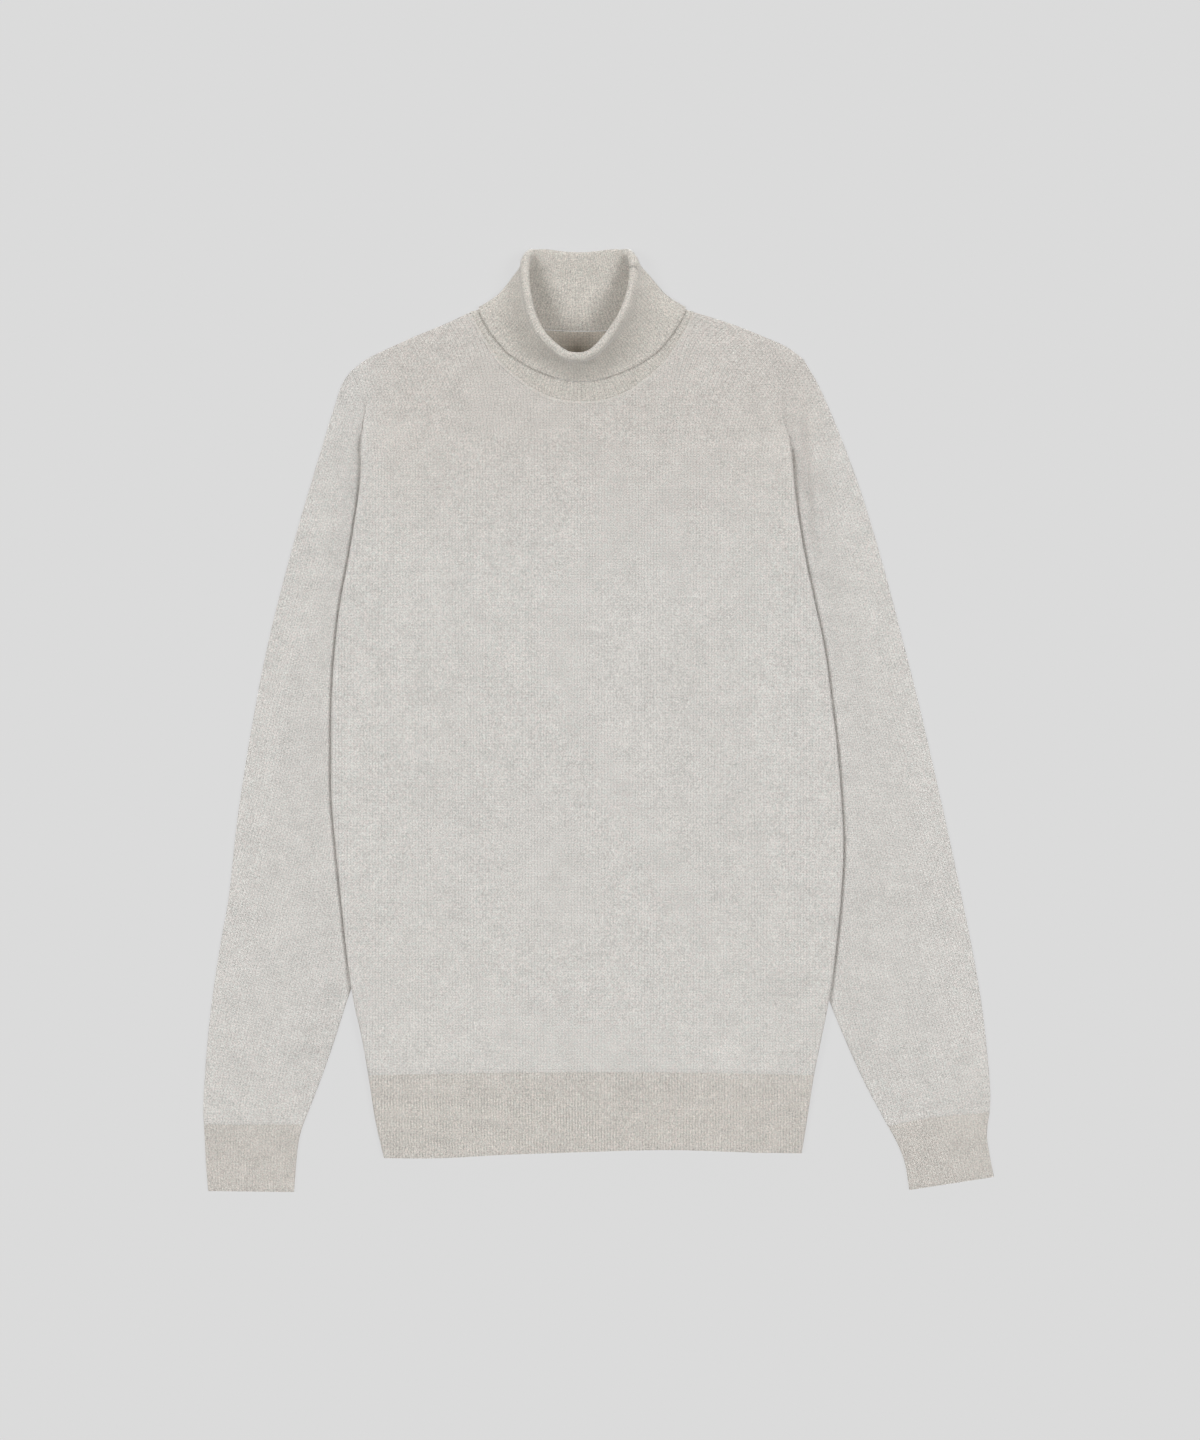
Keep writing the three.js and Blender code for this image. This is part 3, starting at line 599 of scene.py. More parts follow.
def back_sheet(name, sides, lower, upper, columns, wave=None):
    """A sheet of the back, folded inside the front's fold."""
    places, flat = panel(
        sides,
        lower,
        upper,
        columns,
        middle_of_back,
        INNER_FOLD,
        back_inset,
        tuck_scale=BACK_TUCK,
        bend=FOLD_STEPS,
        tuck=FOLD_STEPS,
        wave=wave,
    )
    keep_above_table(places)
    sheet = lay_cloth(name, places, flat)
    thicken(sheet, BACK_WALL)
    return sheet


back = back_sheet("back", body_sides, hem_seam, back_edge, BACK_COLUMNS)
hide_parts("back_panel")
print("back", round(area_of(back), 3), "square metres")

# %% [markdown]
# The hem is a rib knit: columns of stitches that stand up and sink in, one beside the other. The
# ribs are part of the sheet here, raised by a third of a millimetre, so that they catch the light
# the way the real ones do. It closes round the body as the front and back do, in two pieces.

# %% Hem rib
RIB = 2.4  # a rib and its valley
RIB_RISE = 0.35
RIB_STEPS = 6  # columns of the grid in one rib
SEAM_OVERLAP = 0.3  # a rib reaches this far past its seam, so that no gap shows there
HEM_MIDDLE, HEM_END = -330, -357
HEM_ROWS, HEM_FOLD_STEPS, HEM_TUCK_STEPS = 14, 16, 10
HEM_BACK_ROWS, HEM_BACK_COLUMNS = 8, 301
BACK_RIB_LOWER, BACK_RIB_WIDER = 0.3, 1.2  # the hidden ribs of the back are plainer


def rib_wave(along):
    """A row of rounded ribs with narrow valleys between them."""
    return RIB_RISE * (np.abs(np.cos(math.pi * along / RIB)) ** 0.8 - 0.5)


def hem_sides(rows):
    """Points of the hem's visible side edges, from below up to just past the seam."""
    sides = {}
    for side in SIGN:
        bottom = float(hem_edge(SIGN[side] * FOLD_AT[side](HEM_END)))
        y = np.linspace(HEM_SEAM + SEAM_OVERLAP, bottom, rows)
        sides[side] = np.stack([FOLD_AT[side](y), y], axis=-1)[::-1]
    return sides


def past_hem_seam(x):
    return hem_seam(x) + SEAM_OVERLAP


def middle_of_hem(x, y):
    return middle_of_front(x, y) - PLAY


def hem_inset(side, y):
    return WALL / 2


hem_wide = FOLD_AT["left"](HEM_MIDDLE) + FOLD_AT["right"](HEM_MIDDLE)
hem_ribs = round(hem_wide / RIB)


def ribs_in_front(x, y):
    return rib_wave((x - x[0]) / (x[-1] - x[0]) * hem_ribs * RIB)


def ribs_behind(x, y):
    return BACK_RIB_LOWER * rib_wave((x - x[0]) / BACK_RIB_WIDER)


places, flat = panel(
    hem_sides(HEM_ROWS),
    hem_edge,
    past_hem_seam,
    1 + RIB_STEPS * hem_ribs,
    middle_of_hem,
    FOLD - WALL / 2,
    hem_inset,
    bend=HEM_FOLD_STEPS,
    tuck=HEM_TUCK_STEPS,
    wave=ribs_in_front,
)
hem_front = lay_cloth("hem_front", places, flat)
thicken(hem_front, WALL - 2 * PLAY)
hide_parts("hem_rib_front")

hem_back = back_sheet(
    "hem_back",
    hem_sides(HEM_BACK_ROWS),
    hem_edge,
    hem_seam,
    HEM_BACK_COLUMNS,
    wave=ribs_behind,
)
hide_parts("hem_rib_back")
print("hem ribs across the front:", hem_ribs)

# %% [markdown]
# A sleeve is a tube that has been pressed flat. It is laid out between four lines: the fold on the
# outside, the fold on the inside, the armhole and the cuff's seam. The armhole line goes on under
# the body, where the sleeve disappears. A little air stays in the part that shows.

# %% Sleeve outlines
# "hidden" goes on from the armhole under the body, down to where the inner line starts.
SLEEVE = {
    "left": {
        "outer": [
            (168.3, 295.2),
            (179.5, 275.5),
            (188.6, 255.8),
            (199.4, 229.6),
            (211.7, 196.8),
            (222.4, 164.0),
            (236.5, 114.8),
            (249.3, 65.6),
            (261.8, 16.4),
            (274.2, -36.9),
            (284.4, -82.0),
            (298.4, -147.6),
            (305.0, -180.4),
            (313.7, -229.6),
            (319.4, -278.8),
            (321.4, -308.0),
            (320.8, -321.4),
        ],
        "hidden": [(158.2, 215), (157.2, 200), (152.5, 180), (145, 150), (135, 120), (124.4, 98)],
        "inner": [
            (124.4, 98),
            (138.0, -24.6),
            (161.0, -147.6),
            (189.3, -231.2),
            (202.1, -262.4),
            (217.0, -295.2),
            (237.1, -332.5),
        ],
        "cuff_seam": [(320.8, -321.4), (271.2, -325.9), (237.1, -332.5)],
        "cuff_outer": [(320.8, -321.4), (318.6, -339.5), (320.4, -354.6), (324.1, -374.2)],
        "cuff_inner": [(237.1, -332.5), (245.3, -347.7), (250.8, -362.4), (254.5, -385.0)],
    },
    "right": {
        "outer": [
            (202.3, 286.2),
            (209.3, 275.5),
            (216.1, 255.8),
            (224.3, 229.6),
            (234.2, 196.8),
            (244.0, 164.0),
            (257.6, 114.8),
            (269.9, 65.6),
            (280.0, 16.4),
            (289.2, -36.9),
            (296.0, -82.0),
            (303.4, -147.6),
            (309.3, -180.4),
            (316.8, -229.6),
            (321.9, -278.8),
            (324.1, -319.8),
            (323.6, -331.3),
        ],
        "hidden": [(194.6, 228), (193.6, 212), (187, 188), (178, 160), (168, 130), (158.8, 106.6)],
        "inner": [
            (158.8, 106.6),
            (161.2, -24.6),
            (175.2, -147.6),
            (203.4, -223.0),
            (216.2, -262.4),
            (227.8, -295.2),
            (242.0, -331.3),
        ],
        "cuff_seam": [(323.6, -331.3), (283, -331.8), (242.0, -331.3)],
        "cuff_outer": [(323.6, -331.3), (322.9, -344.4), (321.9, -365.0), (320.2, -385.8)],
        "cuff_inner": [(242.0, -331.3), (245.4, -343.6), (247.4, -360.0), (249.5, -386.6)],
    },
}


# %% Helpers for a flat tube
def patch(outer, inner, start, end):
    """A smooth surface between four lines. across goes from the outer line to the inner one."""

    def at(across, down):
        a = np.asarray(across)[..., None]
        d = np.asarray(down)[..., None]
        sides = (1 - a) * outer(down) + a * inner(down)
        ends = (1 - d) * start(across) + d * end(across)
        top = (1 - a) * start(0.0) + a * start(1.0)
        bottom = (1 - a) * end(0.0) + a * end(1.0)
        return sides + ends - ((1 - d) * top + d * bottom)

    return at


EDGE_BENDS = 6  # steps round each edge of the tube


def flat_tube(place, side, rows, top_columns, low_columns, lift, wall=WALL):
    """Places and flat measures of a tube whose two layers lie on each other."""
    half = SLEEVE_TOP / 2
    radius = half - wall / 2
    sign = SIGN[side]
    places, flat = [], []
    along = 0.0
    before = None
    for down in np.linspace(0, 1, rows):
        width = np.linalg.norm(place(0.0, down) - place(1.0, down))
        margin = half / width
        top = place(np.linspace(margin, 1 - margin, top_columns), np.full(top_columns, down))
        low = place(np.linspace(1 - margin, margin, low_columns), np.full(low_columns, down))
        middle = place(0.5, down)
        along += 0.0 if before is None else np.linalg.norm(middle - before)
        before = middle
        ring = [np.column_stack([top, half + radius + lift(top[:, 0], top[:, 1])])]
        for end, inside, start in ((top[-1], top[-2], 0.0), (top[0], top[1], math.pi)):
            out = (end - inside) / np.linalg.norm(end - inside)
            turn = start + math.pi * np.arange(1, EDGE_BENDS) / EDGE_BENDS
            push = radius * np.abs(np.sin(turn))
            ring.append(np.column_stack([end + push[:, None] * out, half + radius * np.cos(turn)]))
            if start == 0.0:
                ring.append(np.column_stack([low, np.full(low_columns, half - radius)]))
        ring.append(ring[0][:1])
        ring = np.vstack(ring)
        steps = np.linalg.norm(np.diff(ring[:, :2], axis=0), axis=1)
        around = np.concatenate([[0], np.cumsum(steps)]) - width / 2
        ring[:, 0] *= sign
        places.append(ring)
        flat.append(np.column_stack([around, np.full(len(ring), -along)]) * MM)
    return np.array(places), np.array(flat)


def along_points(points):
    """A smooth line through points, as a function of the share of their count."""
    by_index = line_through(points)[1]
    return lambda share: by_index(np.asarray(share) * (len(points) - 1))


def beside(points, distance):
    """The same points, moved sideways to the left of the way that they go."""
    p = np.array(points, float)
    run = np.vstack([p[1] - p[0], p[2:] - p[:-2], p[-1] - p[-2]])
    run /= np.linalg.norm(run, axis=1)[:, None]
    return p + distance * np.stack([-run[:, 1], run[:, 0]], axis=-1)


# %% [markdown]
# The sleeve's upper layer isn't level. It sinks at the armhole's seam, has a soft crease beside the
# body and a hollow right below the underarm, and is a little puffed by the air in it. Where the
# body lies on it, the air is pressed out, except next to the underarm: there the sleeve stays as
# high as the body, and only a crack parts them.

# %% Form of the sleeve's upper layer
# The crease's upper end, x and y, and how far it moves outwards for each millimetre down.
CREASE_FROM = {"left": (166.0, 262.0, 0.08), "right": (206.0, 262.0, 0.1)}
CREASE_DEEP = {"left": 1.4, "right": 0.6}
CREASE_HALF = 2.2
SWELL, SWELL_AT, SWELL_HALF = 0.8, 6, 4  # the cloth swells a little beside the crease
PIT_DEEP = {"left": 0.8, "right": 0.3}
PIT_HALF = 1.6  # how far it reaches to each side
CRACK = {"left": 1.0, "right": 0.4}
ARMHOLE_DIP, ARMHOLE_DIP_HALF = 0.5, 1.6
PUFF = 2.4  # how high the air lifts the upper layer
PUFF_AT_CRACK = 2.2  # more air beside the crack


def armhole_dip(beyond, below):
    """How deep the sleeve sinks beside the armhole's seam, above the underarm."""
    near = np.exp(-((np.maximum(beyond, 0) / ARMHOLE_DIP_HALF) ** 2))
    return ARMHOLE_DIP * near * ease(-below, -5, 6)


def soft_crease(side, x, y):
    """How deep the crease beside the body is. It starts below the shoulder."""
    top_x, top_y, outwards = CREASE_FROM[side]
    valley = x - top_x - outwards * (top_y - y)
    reach = ease(y, 120, 160) * ease(top_y - y, 0, 20)
    swell = SWELL * np.exp(-(((valley - SWELL_AT) / SWELL_HALF) ** 2))
    soft = np.exp(-((valley / CREASE_HALF) ** 2)) - swell
    return CREASE_DEEP[side] * soft * reach


def underarm_pit(side, beyond_fold, below):
    """How deep the hollow is right below the underarm."""
    pit = np.exp(-(((beyond_fold - 1.0) / PIT_HALF) ** 2))
    return PIT_DEEP[side] * (pit * ease(below, 0, 4) * ease(36 - below, 0, 16))


def puff(side, outer_edge):
    """How much the sleeve's upper layer is lifted, as a function of x and y."""
    armhole = smooth_through([p[1] for p in ARMHOLE[side]], [p[0] for p in ARMHOLE[side]])

    def lift(x, y):
        fold, hidden = FOLD_AT[side](y), SLEEVE_AT[side](y)
        below = UNDERARM[side] - y
        dip = armhole_dip(x - armhole(y), below) + soft_crease(side, x, y)
        dip = dip + underarm_pit(side, x - fold, below)
        under_body = ease(fold - hidden, 2, 16)
        crack = CRACK[side] * ease(below, 0, 8) * ease(64 - below, 0, 44)
        clear = under_body * ease(x - fold + 2.8 - 2.0 * crack, 0, 8.0 - 5.4 * crack)
        clear = clear + (1 - under_body) * ease(x - np.maximum(fold, hidden), 3, 30)
        rim = ease(outer_edge(y) - x, 0, 28)
        ends = ease(below, 0, 20) * ease(y + 328, 0, 70)
        return (PUFF + PUFF_AT_CRACK * crack) * clear * rim * ends - dip

    return lift


# %% Sleeves
PAST_ARMHOLE = 0.6  # how far the sleeve reaches in past the armhole's line
CUFF_SEAM_DOWN = 0.1  # how far the sleeve's end lies below the cuff seam's line
SLEEVE_ROWS, SLEEVE_COLUMNS, SLEEVE_LOW_COLUMNS = 230, 110, 40

sleeves, cuffs = {}, {}
for side in SIGN:
    table = SLEEVE[side]
    start = beside([*reversed(ARMHOLE[side]), *table["hidden"]], -PAST_ARMHOLE)
    seam = np.array(table["cuff_seam"]) - (0, CUFF_SEAM_DOWN)
    outer = line_through([start[0], *table["outer"][1:-1], seam[0]])[0]
    inner = line_through([start[-1], *table["inner"][1:-1], seam[-1]])[0]
    place = patch(outer, inner, along_points(start), along_points(seam))
    edge = smooth_through([p[1] for p in table["outer"]], [p[0] for p in table["outer"]])
    places, flat = flat_tube(
        place, side, SLEEVE_ROWS, SLEEVE_COLUMNS, SLEEVE_LOW_COLUMNS, puff(side, edge)
    )
    sleeves[side] = lay_cloth(f"sleeve_{side}_knit", places, flat, closed=True)
    thicken(sleeves[side], WALL - PLAY)
    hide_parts(f"sleeve_{side}")
    print("sleeve", side, round(area_of(sleeves[side]), 3), "square metres")

# %% [markdown]
# The cuffs are the hem's rib knit again, pulled in a little by the knitting. They are made as the
# sleeves are, with the ribs raised on the layer that faces up.

# %% Cuffs
CUFF_WIDE = 78  # about the width of a cuff that lies flat
CUFF_ROWS, CUFF_LOW_COLUMNS = 14, 96
cuff_ribs = round(CUFF_WIDE / RIB)


def cuff_rib_rise(x, y):
    return rib_wave(np.arange(len(x)) / RIB_STEPS * RIB)


def straight(first, last):
    """A straight line between two points, as a function of a share."""
    return lambda share: first + np.asarray(share)[..., None] * (last - first)


for side in SIGN:
    table = SLEEVE[side]
    seam = np.array(table["cuff_seam"]) + (0, SEAM_OVERLAP)
    outer = line_through([seam[0], *table["cuff_outer"][1:]])[0]
    inner = line_through([seam[-1], *table["cuff_inner"][1:]])[0]
    open_end = straight(np.array(table["cuff_outer"][-1]), np.array(table["cuff_inner"][-1]))
    places, flat = flat_tube(
        patch(outer, inner, along_points(seam), open_end),
        side,
        CUFF_ROWS,
        RIB_STEPS * cuff_ribs + 1,
        CUFF_LOW_COLUMNS,
        cuff_rib_rise,
        wall=WALL + PLAY,
    )
    cuffs[side] = lay_cloth(f"cuff_{side}_rib", places, flat, closed=True)
    thicken(cuffs[side], WALL - 2 * PLAY)
    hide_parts(f"cuff_{side}")
print("ribs across a cuff:", cuff_ribs)

# %% [markdown]
# The collar is one tall band. It stands up from the neckline, rolls over at the rim and comes
# down again on the outside, so a profile goes up, round and down at every place round the neck.
# At the back it leans over flat, with the turned down part below it.

# %% Collar's stand
COLLAR_WALL = 1.5
LEAN_SHARE = (0, 0, 0.5, 1)  # how much of the rim's lean each of the four heights takes
FULLER = {5: 0.9, 6: 1.9, 7: 2.4, 8: 1.9, 9: 0.8}  # rows where the left side bulges out
FULLER_SHARE = (0, 0.7, 1, 0.5)  # and how much of that each height takes
FOOT_PRESSED = 1.7  # how far the shoulder's edge presses the collar's foot down
FOOT_HIGH = 0.12  # the share of the stand that counts as its foot
SHOULDER_WIDE = 0.7  # the rows of the table over which the shoulder presses
BESIDE, ABOVE = 0.25, 0.04  # steps for measuring which way the stand faces

whole = [(1, row) for row in STAND] + [(-1, row) for row in reversed(STAND[1:-1])]
count = len(whole)
loops = []
for height in range(4):
    ring = []
    for sign, row in whole:
        place = STAND.index(row)
        centre = NECK_X + (RIM_X - NECK_X) * height / 3
        centre += RIM_LEAN[place] * LEAN_SHARE[height] if place < len(RIM_LEAN) else 0
        centre += FULLER.get(place, 0) * FULLER_SHARE[height] if sign > 0 else 0
        out, y, z = row[3 * height : 3 * height + 3]
        ring.append((centre + sign * out, y, z))
    loops.append(line_through(ring, closed=True)[1])


def stand(at, share):
    """Points of the stand. at counts the rows of the table, share goes from base to rim.

    A smooth curve runs through the four heights, in three stretches.
    """
    a, b, c, d = (f(np.mod(at, count)) for f in loops)
    knots = [2 * a - b, a, b, c, d, 2 * d - c]
    t = np.asarray(share, float)[..., None] * 3
    out = np.zeros(np.broadcast_shapes(t.shape, a.shape))
    for i in range(3):
        p0, p1, p2, p3 = knots[i : i + 4]
        u = t - i
        part = 0.5 * (
            2 * p1
            + (p2 - p0) * u
            + (2 * p0 - 5 * p1 + 4 * p2 - p3) * u**2
            + (3 * p1 - p0 - 3 * p2 + p3) * u**3
        )
        inside = (t >= i) & ((t < i + 1) | (i == 2))
        out = np.where(inside, part, out)
    turn = np.minimum(np.mod(at, count), count - np.mod(at, count)) - CREASE
    foot = np.asarray(share) / FOOT_HIGH
    out[..., 1] -= FOOT_PRESSED * np.exp(-((turn / SHOULDER_WIDE) ** 2)) * foot * np.exp(1 - foot)
    return out


def unit(v):
    return v / np.linalg.norm(v, axis=-1, keepdims=True)


def outward(at, share):
    """The direction that the stand's outer face looks in."""
    round_it = stand(at + BESIDE, share) - stand(at - BESIDE, share)
    up = stand(at, np.minimum(1, share + ABOVE)) - stand(at, np.maximum(0, share - ABOVE))
    return unit(np.cross(round_it, up))


print("collar stand:", count, "places round the neck, rim at", STAND[0][11], "mm in front")

# %% [markdown]
# The turned down part keeps a small gap from the stand. The gap is widest at the rim, where the
# knit rolls over and won't bend sharply, and it opens a little again at the free edge beside the
# shoulders. At the back the turned down part lies between the stand and the table.

# %% Collar
ROLL, DOUBLE, FLARE = 5.6, 1.8, 0.1  # the gap at the rim and further down, and how it opens
SIDE_FLARE = 0.8  # how much more it opens beside the shoulders
ROLL_REACH = 0.15  # the share of the turned down part where the gap is still wide
ROLL_REACH_LEFT = 0.1  # and how much more of it on the left side, where the roll is flatter
ROLL_FLATTER = 0.3
BACK_GAP_MOST = 6.5  # the gap at the back is at most this
AROUND = 330  # steps round the neck
STAND_ROWS, ROLL_ROWS, DOWN_ROWS = 30, 12, 28
MEASURED_ROW = 12  # the width of the cloth is measured on this row of the stand

at = np.linspace(0, count, AROUND + 1)
from_front = np.minimum(at, count - at)
bare_round = [row[12] for _, row in whole]
bare = np.interp(at, np.arange(count + 1), [*bare_round, bare_round[0]])
is_back = ease(from_front, CREASE - 0.5, CREASE + 2)
on_left = ease(at, 2, 4) * (1 - ease(at, 5.5, 6.6))
flare = FLARE + SIDE_FLARE * ease(from_front, 1.0, 3.0) * (1 - ease(from_front, 5.0, 6.8))
half_wall = COLLAR_WALL / 2


def gap(share):
    """How far the turned down part is from the stand at this share of its height."""
    far = (1 - share) / (1 - bare)
    roll = np.exp(-((far / (ROLL_REACH + ROLL_REACH_LEFT * on_left)) ** 2))
    free = DOUBLE + (ROLL - DOUBLE) * (1 - ROLL_FLATTER * on_left) * roll + flare * far**3
    low = np.clip(stand(at, share)[..., 2] - half_wall, DOUBLE - PLAY, BACK_GAP_MOST)
    return free + (low - free) * is_back


full = np.ones_like(at)
cloth_rows = [stand(at, share * full) for share in np.linspace(0, 1, STAND_ROWS)]
rim, rim_out = stand(at, full), outward(at, full)
tip = unit(rim - stand(at, (1 - ABOVE) * full))
radius = (gap(full) / 2)[:, None]
for a in np.linspace(0, math.pi, ROLL_ROWS)[1:-1]:
    cloth_rows.append(rim + rim_out * radius * (1 - math.cos(a)) + tip * radius * math.sin(a))
for far in np.linspace(0, 1, DOWN_ROWS):
    height = 1 - (1 - bare) * far
    out = outward(at, height)
    out = unit(out + (np.array([0, 0, -1.0]) - out) * is_back[:, None])
    row = stand(at, height) + out * gap(height)[:, None]
    row[:, 2] = np.maximum(row[:, 2], half_wall)
    cloth_rows.append(row)
places = np.array(cloth_rows)
up_cloth = length_along(places[:, 0])
round_cloth = length_along(places[MEASURED_ROW])
flat = np.empty((*places.shape[:2], 2))
flat[..., 0] = round_cloth[None, :] * MM
flat[..., 1] = up_cloth[:, None] * MM
collar = lay_cloth("turned_collar", places, flat, closed=True)
thicken(collar, COLLAR_WALL - PLAY)
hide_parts("collar")
print("collar", round(round_cloth[-1]), "mm round,", round(up_cloth[-1]), "mm from seam to edge")

# %% [markdown]
# Collar and front are joined by linking: a row of loops that stands up a little. It is a low bead
# that follows the neckline, with a small rise for every stitch. Its paler colour is a painted
# highlight, for the light that the raised loops catch.

# %% Linked seam at the neck
BEAD_WIDE, BEAD_HIGH = 2.6, 0.45
BEAD_ROUND = 15  # points round the bead
LOOP_PITCH = 2.4  # one loop of the linking
LOOP_RISE = 0.22
BEAD_FADES = 2.5  # its ends sink away over this length
BEAD_END = 6.9  # the row of the collar table where it ends on each side, near the crease
BEAD_OUT = 0.7  # how far it lies out of the collar's foot, and above its middle


def bead(name, line, across, height, pitch):
    """A low ridge along a line of points, closed below, with a rise for each stitch."""
    side = unit(np.cross(np.gradient(line, axis=0), [0, 0, 1.0]))
    run = length_along(line)
    stitch = 1 + LOOP_RISE * np.cos(2 * math.pi * run / pitch)
    fade = ease(run, 0, BEAD_FADES) * ease(run[-1] - run, 0, BEAD_FADES)
    rows = []
    for a in np.linspace(0, 2 * math.pi, BEAD_ROUND):
        out = side * (across / 2 * math.cos(a) * fade)[:, None]
        up = height * math.sin(a) * (stitch if math.sin(a) > 0 else 1.0) * fade
        rows.append(line + out + np.column_stack([0 * run, 0 * run, up]))
    places = np.array(rows)
    flat = np.empty((*places.shape[:2], 2))
    flat[..., 0] = run[None, :] * MM
    flat[..., 1] = np.linspace(0, 2.2 * across, BEAD_ROUND)[:, None] * MM
    return lay_cloth(name, places, flat, closed=True)


front_at = np.linspace(-BEAD_END, BEAD_END, 900)
base = stand(front_at, np.zeros_like(front_at))
away = unit(base - stand(front_at, np.full_like(front_at, FOOT_HIGH)))
line = base + away * BEAD_OUT
line[:, 2] = base[:, 2] + BEAD_OUT
neck_bead = bead("neck_linking", line, BEAD_WIDE, BEAD_HIGH, LOOP_PITCH)
print("neck linking", round(length_along(line)[-1]), "mm long")

# %% [markdown]
# A material is a tree of nodes, and each node does one sum. A few short calls add the nodes, so
# that a pattern can be written down like a formula.


# %% Helpers for node trees
def math_node(tree, operation, a, b=0.0):
    node = tree.nodes.new("ShaderNodeMath")
    node.operation = operation
    for socket, value in zip(node.inputs, (a, b)):
        if isinstance(value, bpy.types.NodeSocket):
            tree.links.new(value, socket)
        else:
            socket.default_value = value
    return node.outputs[0]


def summed(tree, total, parts):
    """The total with each part added, times its weight."""
    for value, weight in parts:
        total = math_node(tree, "ADD", total, math_node(tree, "MULTIPLY", value, weight))
    return total


def step_up(tree, value, low, high):
    """0 at low and 1 at high, smooth between. With high below low it steps down."""
    node = tree.nodes.new("ShaderNodeMapRange")
    node.interpolation_type = "SMOOTHSTEP"
    node.inputs["From Min"].default_value = low
    node.inputs["From Max"].default_value = high
    tree.links.new(value, node.inputs["Value"])
    return node.outputs["Result"]


def step_down(tree, value, low, high):
    return math_node(tree, "SUBTRACT", 1.0, step_up(tree, value, low, high))


def split(tree, place):
    node = tree.nodes.new("ShaderNodeSeparateXYZ")
    tree.links.new(place, node.inputs[0])
    return node.outputs


def mix_colours(tree, blend, share, first, second):
    """Two colours, each a socket or three numbers, mixed by a share from 0 to 1."""
    node = tree.nodes.new("ShaderNodeMix")
    node.data_type = "RGBA"
    node.blend_type = blend
    tree.links.new(share, node.inputs["Factor"])
    for name, colour in (("A_Color", first), ("B_Color", second)):
        socket = next(i for i in node.inputs if i.identifier == name)
        if isinstance(colour, bpy.types.NodeSocket):
            tree.links.new(colour, socket)
        else:
            socket.default_value = (*colour, 1)
    return next(o for o in node.outputs if o.identifier == "Result_Color")


# %% [markdown]
# Wool knit seen close is rows of small V stitches. The pattern is worked out from the cloth's own
# flat measures: which column of stitches a point is in, and how far up that column it is. The
# collar's closing seam is a groove in the same measures, and the taped seam inside the back's neck
# a low ridge.


# %% Stitches and seams
GROOVE = (0.0003, 0.001)  # metres from the seam's middle: fully deep, and level again
RIDGE = (0.0003, 0.0012)


def stitches(tree, cloth, wale, course, wander):
    """Which stitch column a point is in, and how high the yarn of its V stitches stands there."""
    calc = partial(math_node, tree)
    across = calc("ADD", calc("DIVIDE", cloth[0], wale * MM), wander)
    up = calc("DIVIDE", cloth[1], course * MM)
    in_wale = calc("ABSOLUTE", calc("SUBTRACT", calc("FRACT", across), 0.5))
    from_leg = calc("ABSOLUTE", calc("SUBTRACT", in_wale, 0.25))
    leg = calc("MAXIMUM", calc("SUBTRACT", 1.0, calc("MULTIPLY", from_leg, 4.0)), 0.0)
    slant = calc("SUBTRACT", up, calc("MULTIPLY", in_wale, 1.1))
    loop = calc("COSINE", calc("MULTIPLY", slant, 2 * math.pi))
    return across, summed(tree, -0.42, [(loop, 0.2), (calc("POWER", leg, 0.6), 0.6)])


def seam_groove(tree, cloth, seam_x, seam_from, seam_to):
    """1 in the groove of a seam that runs up the cloth, 0 beside it."""
    beside = math_node(tree, "ABSOLUTE", math_node(tree, "SUBTRACT", cloth[0], seam_x))
    groove = step_down(tree, beside, *GROOVE)
    above = step_up(tree, cloth[1], seam_from - 0.001, seam_from)
    below = step_down(tree, cloth[1], seam_to, seam_to + 0.002)
    return math_node(tree, "MULTIPLY", math_node(tree, "MULTIPLY", groove, above), below)


def tape_ridge(tree, place, tape_y):
    """1 on the seam that runs across the cloth, 0 beside it."""
    beside = math_node(tree, "ABSOLUTE", math_node(tree, "SUBTRACT", place[1], tape_y))
    return step_down(tree, beside, *RIDGE)


# %% [markdown]
# The yarn is a heather, spun from fibres of several greys, so its colour drifts a little, in
# grains and in faint cross streaks, and some specks are warmer than others. On the yoke a second
# colour paints shade: the cloth is made a little darker and warmer there, for the dimmer light.

# %% Heather yarn
HEATHER = 1.95  # how strong the grains are
DRIFTING, STREAKING = 0.27, 0.1  # and the slow drift and the cross streaks
# Painted shade on the yoke: the colour there is multiplied by this, a little darker and warmer.
PAINTED_YOKE_SHADE = (0.95, 0.93, 0.915)
YOKE_SHADE_HIGH = (0.1, 0.28)  # metres up the body: where the painted yoke shade starts, and is full
YOKE_SHADE_SIDES = (0.165, 0.205)  # metres from the middle: where it starts to fade, and is gone
WARM_SPECK, COOL_SPECK = (1.03, 0.985, 0.985), (0.975, 1.015, 1.01)
# Each noise has a scale, detail and roughness, and some are stretched.
GRAINS = (1050, 3, 0.85, (1, 0.85, 1))
DRIFT = (65, 3, 0.7)
STREAKS = (30, 2, 0.5, (0.5, 7, 1))
SPECKS = (700, 1, 0.5)
WANDER = (90, 3, 0.5)


def noise(tree, place, scale, detail, roughness, stretch=(1, 1, 1)):
    """Noise of about -0.5 to 0.5."""
    mapping = tree.nodes.new("ShaderNodeMapping")
    mapping.inputs["Scale"].default_value = stretch
    tree.links.new(place, mapping.inputs["Vector"])
    node = tree.nodes.new("ShaderNodeTexNoise")
    node.inputs["Scale"].default_value = scale
    node.inputs["Detail"].default_value = detail
    node.inputs["Roughness"].default_value = roughness
    tree.links.new(mapping.outputs["Vector"], node.inputs["Vector"])
    return math_node(tree, "SUBTRACT", node.outputs["Fac"], 0.5)


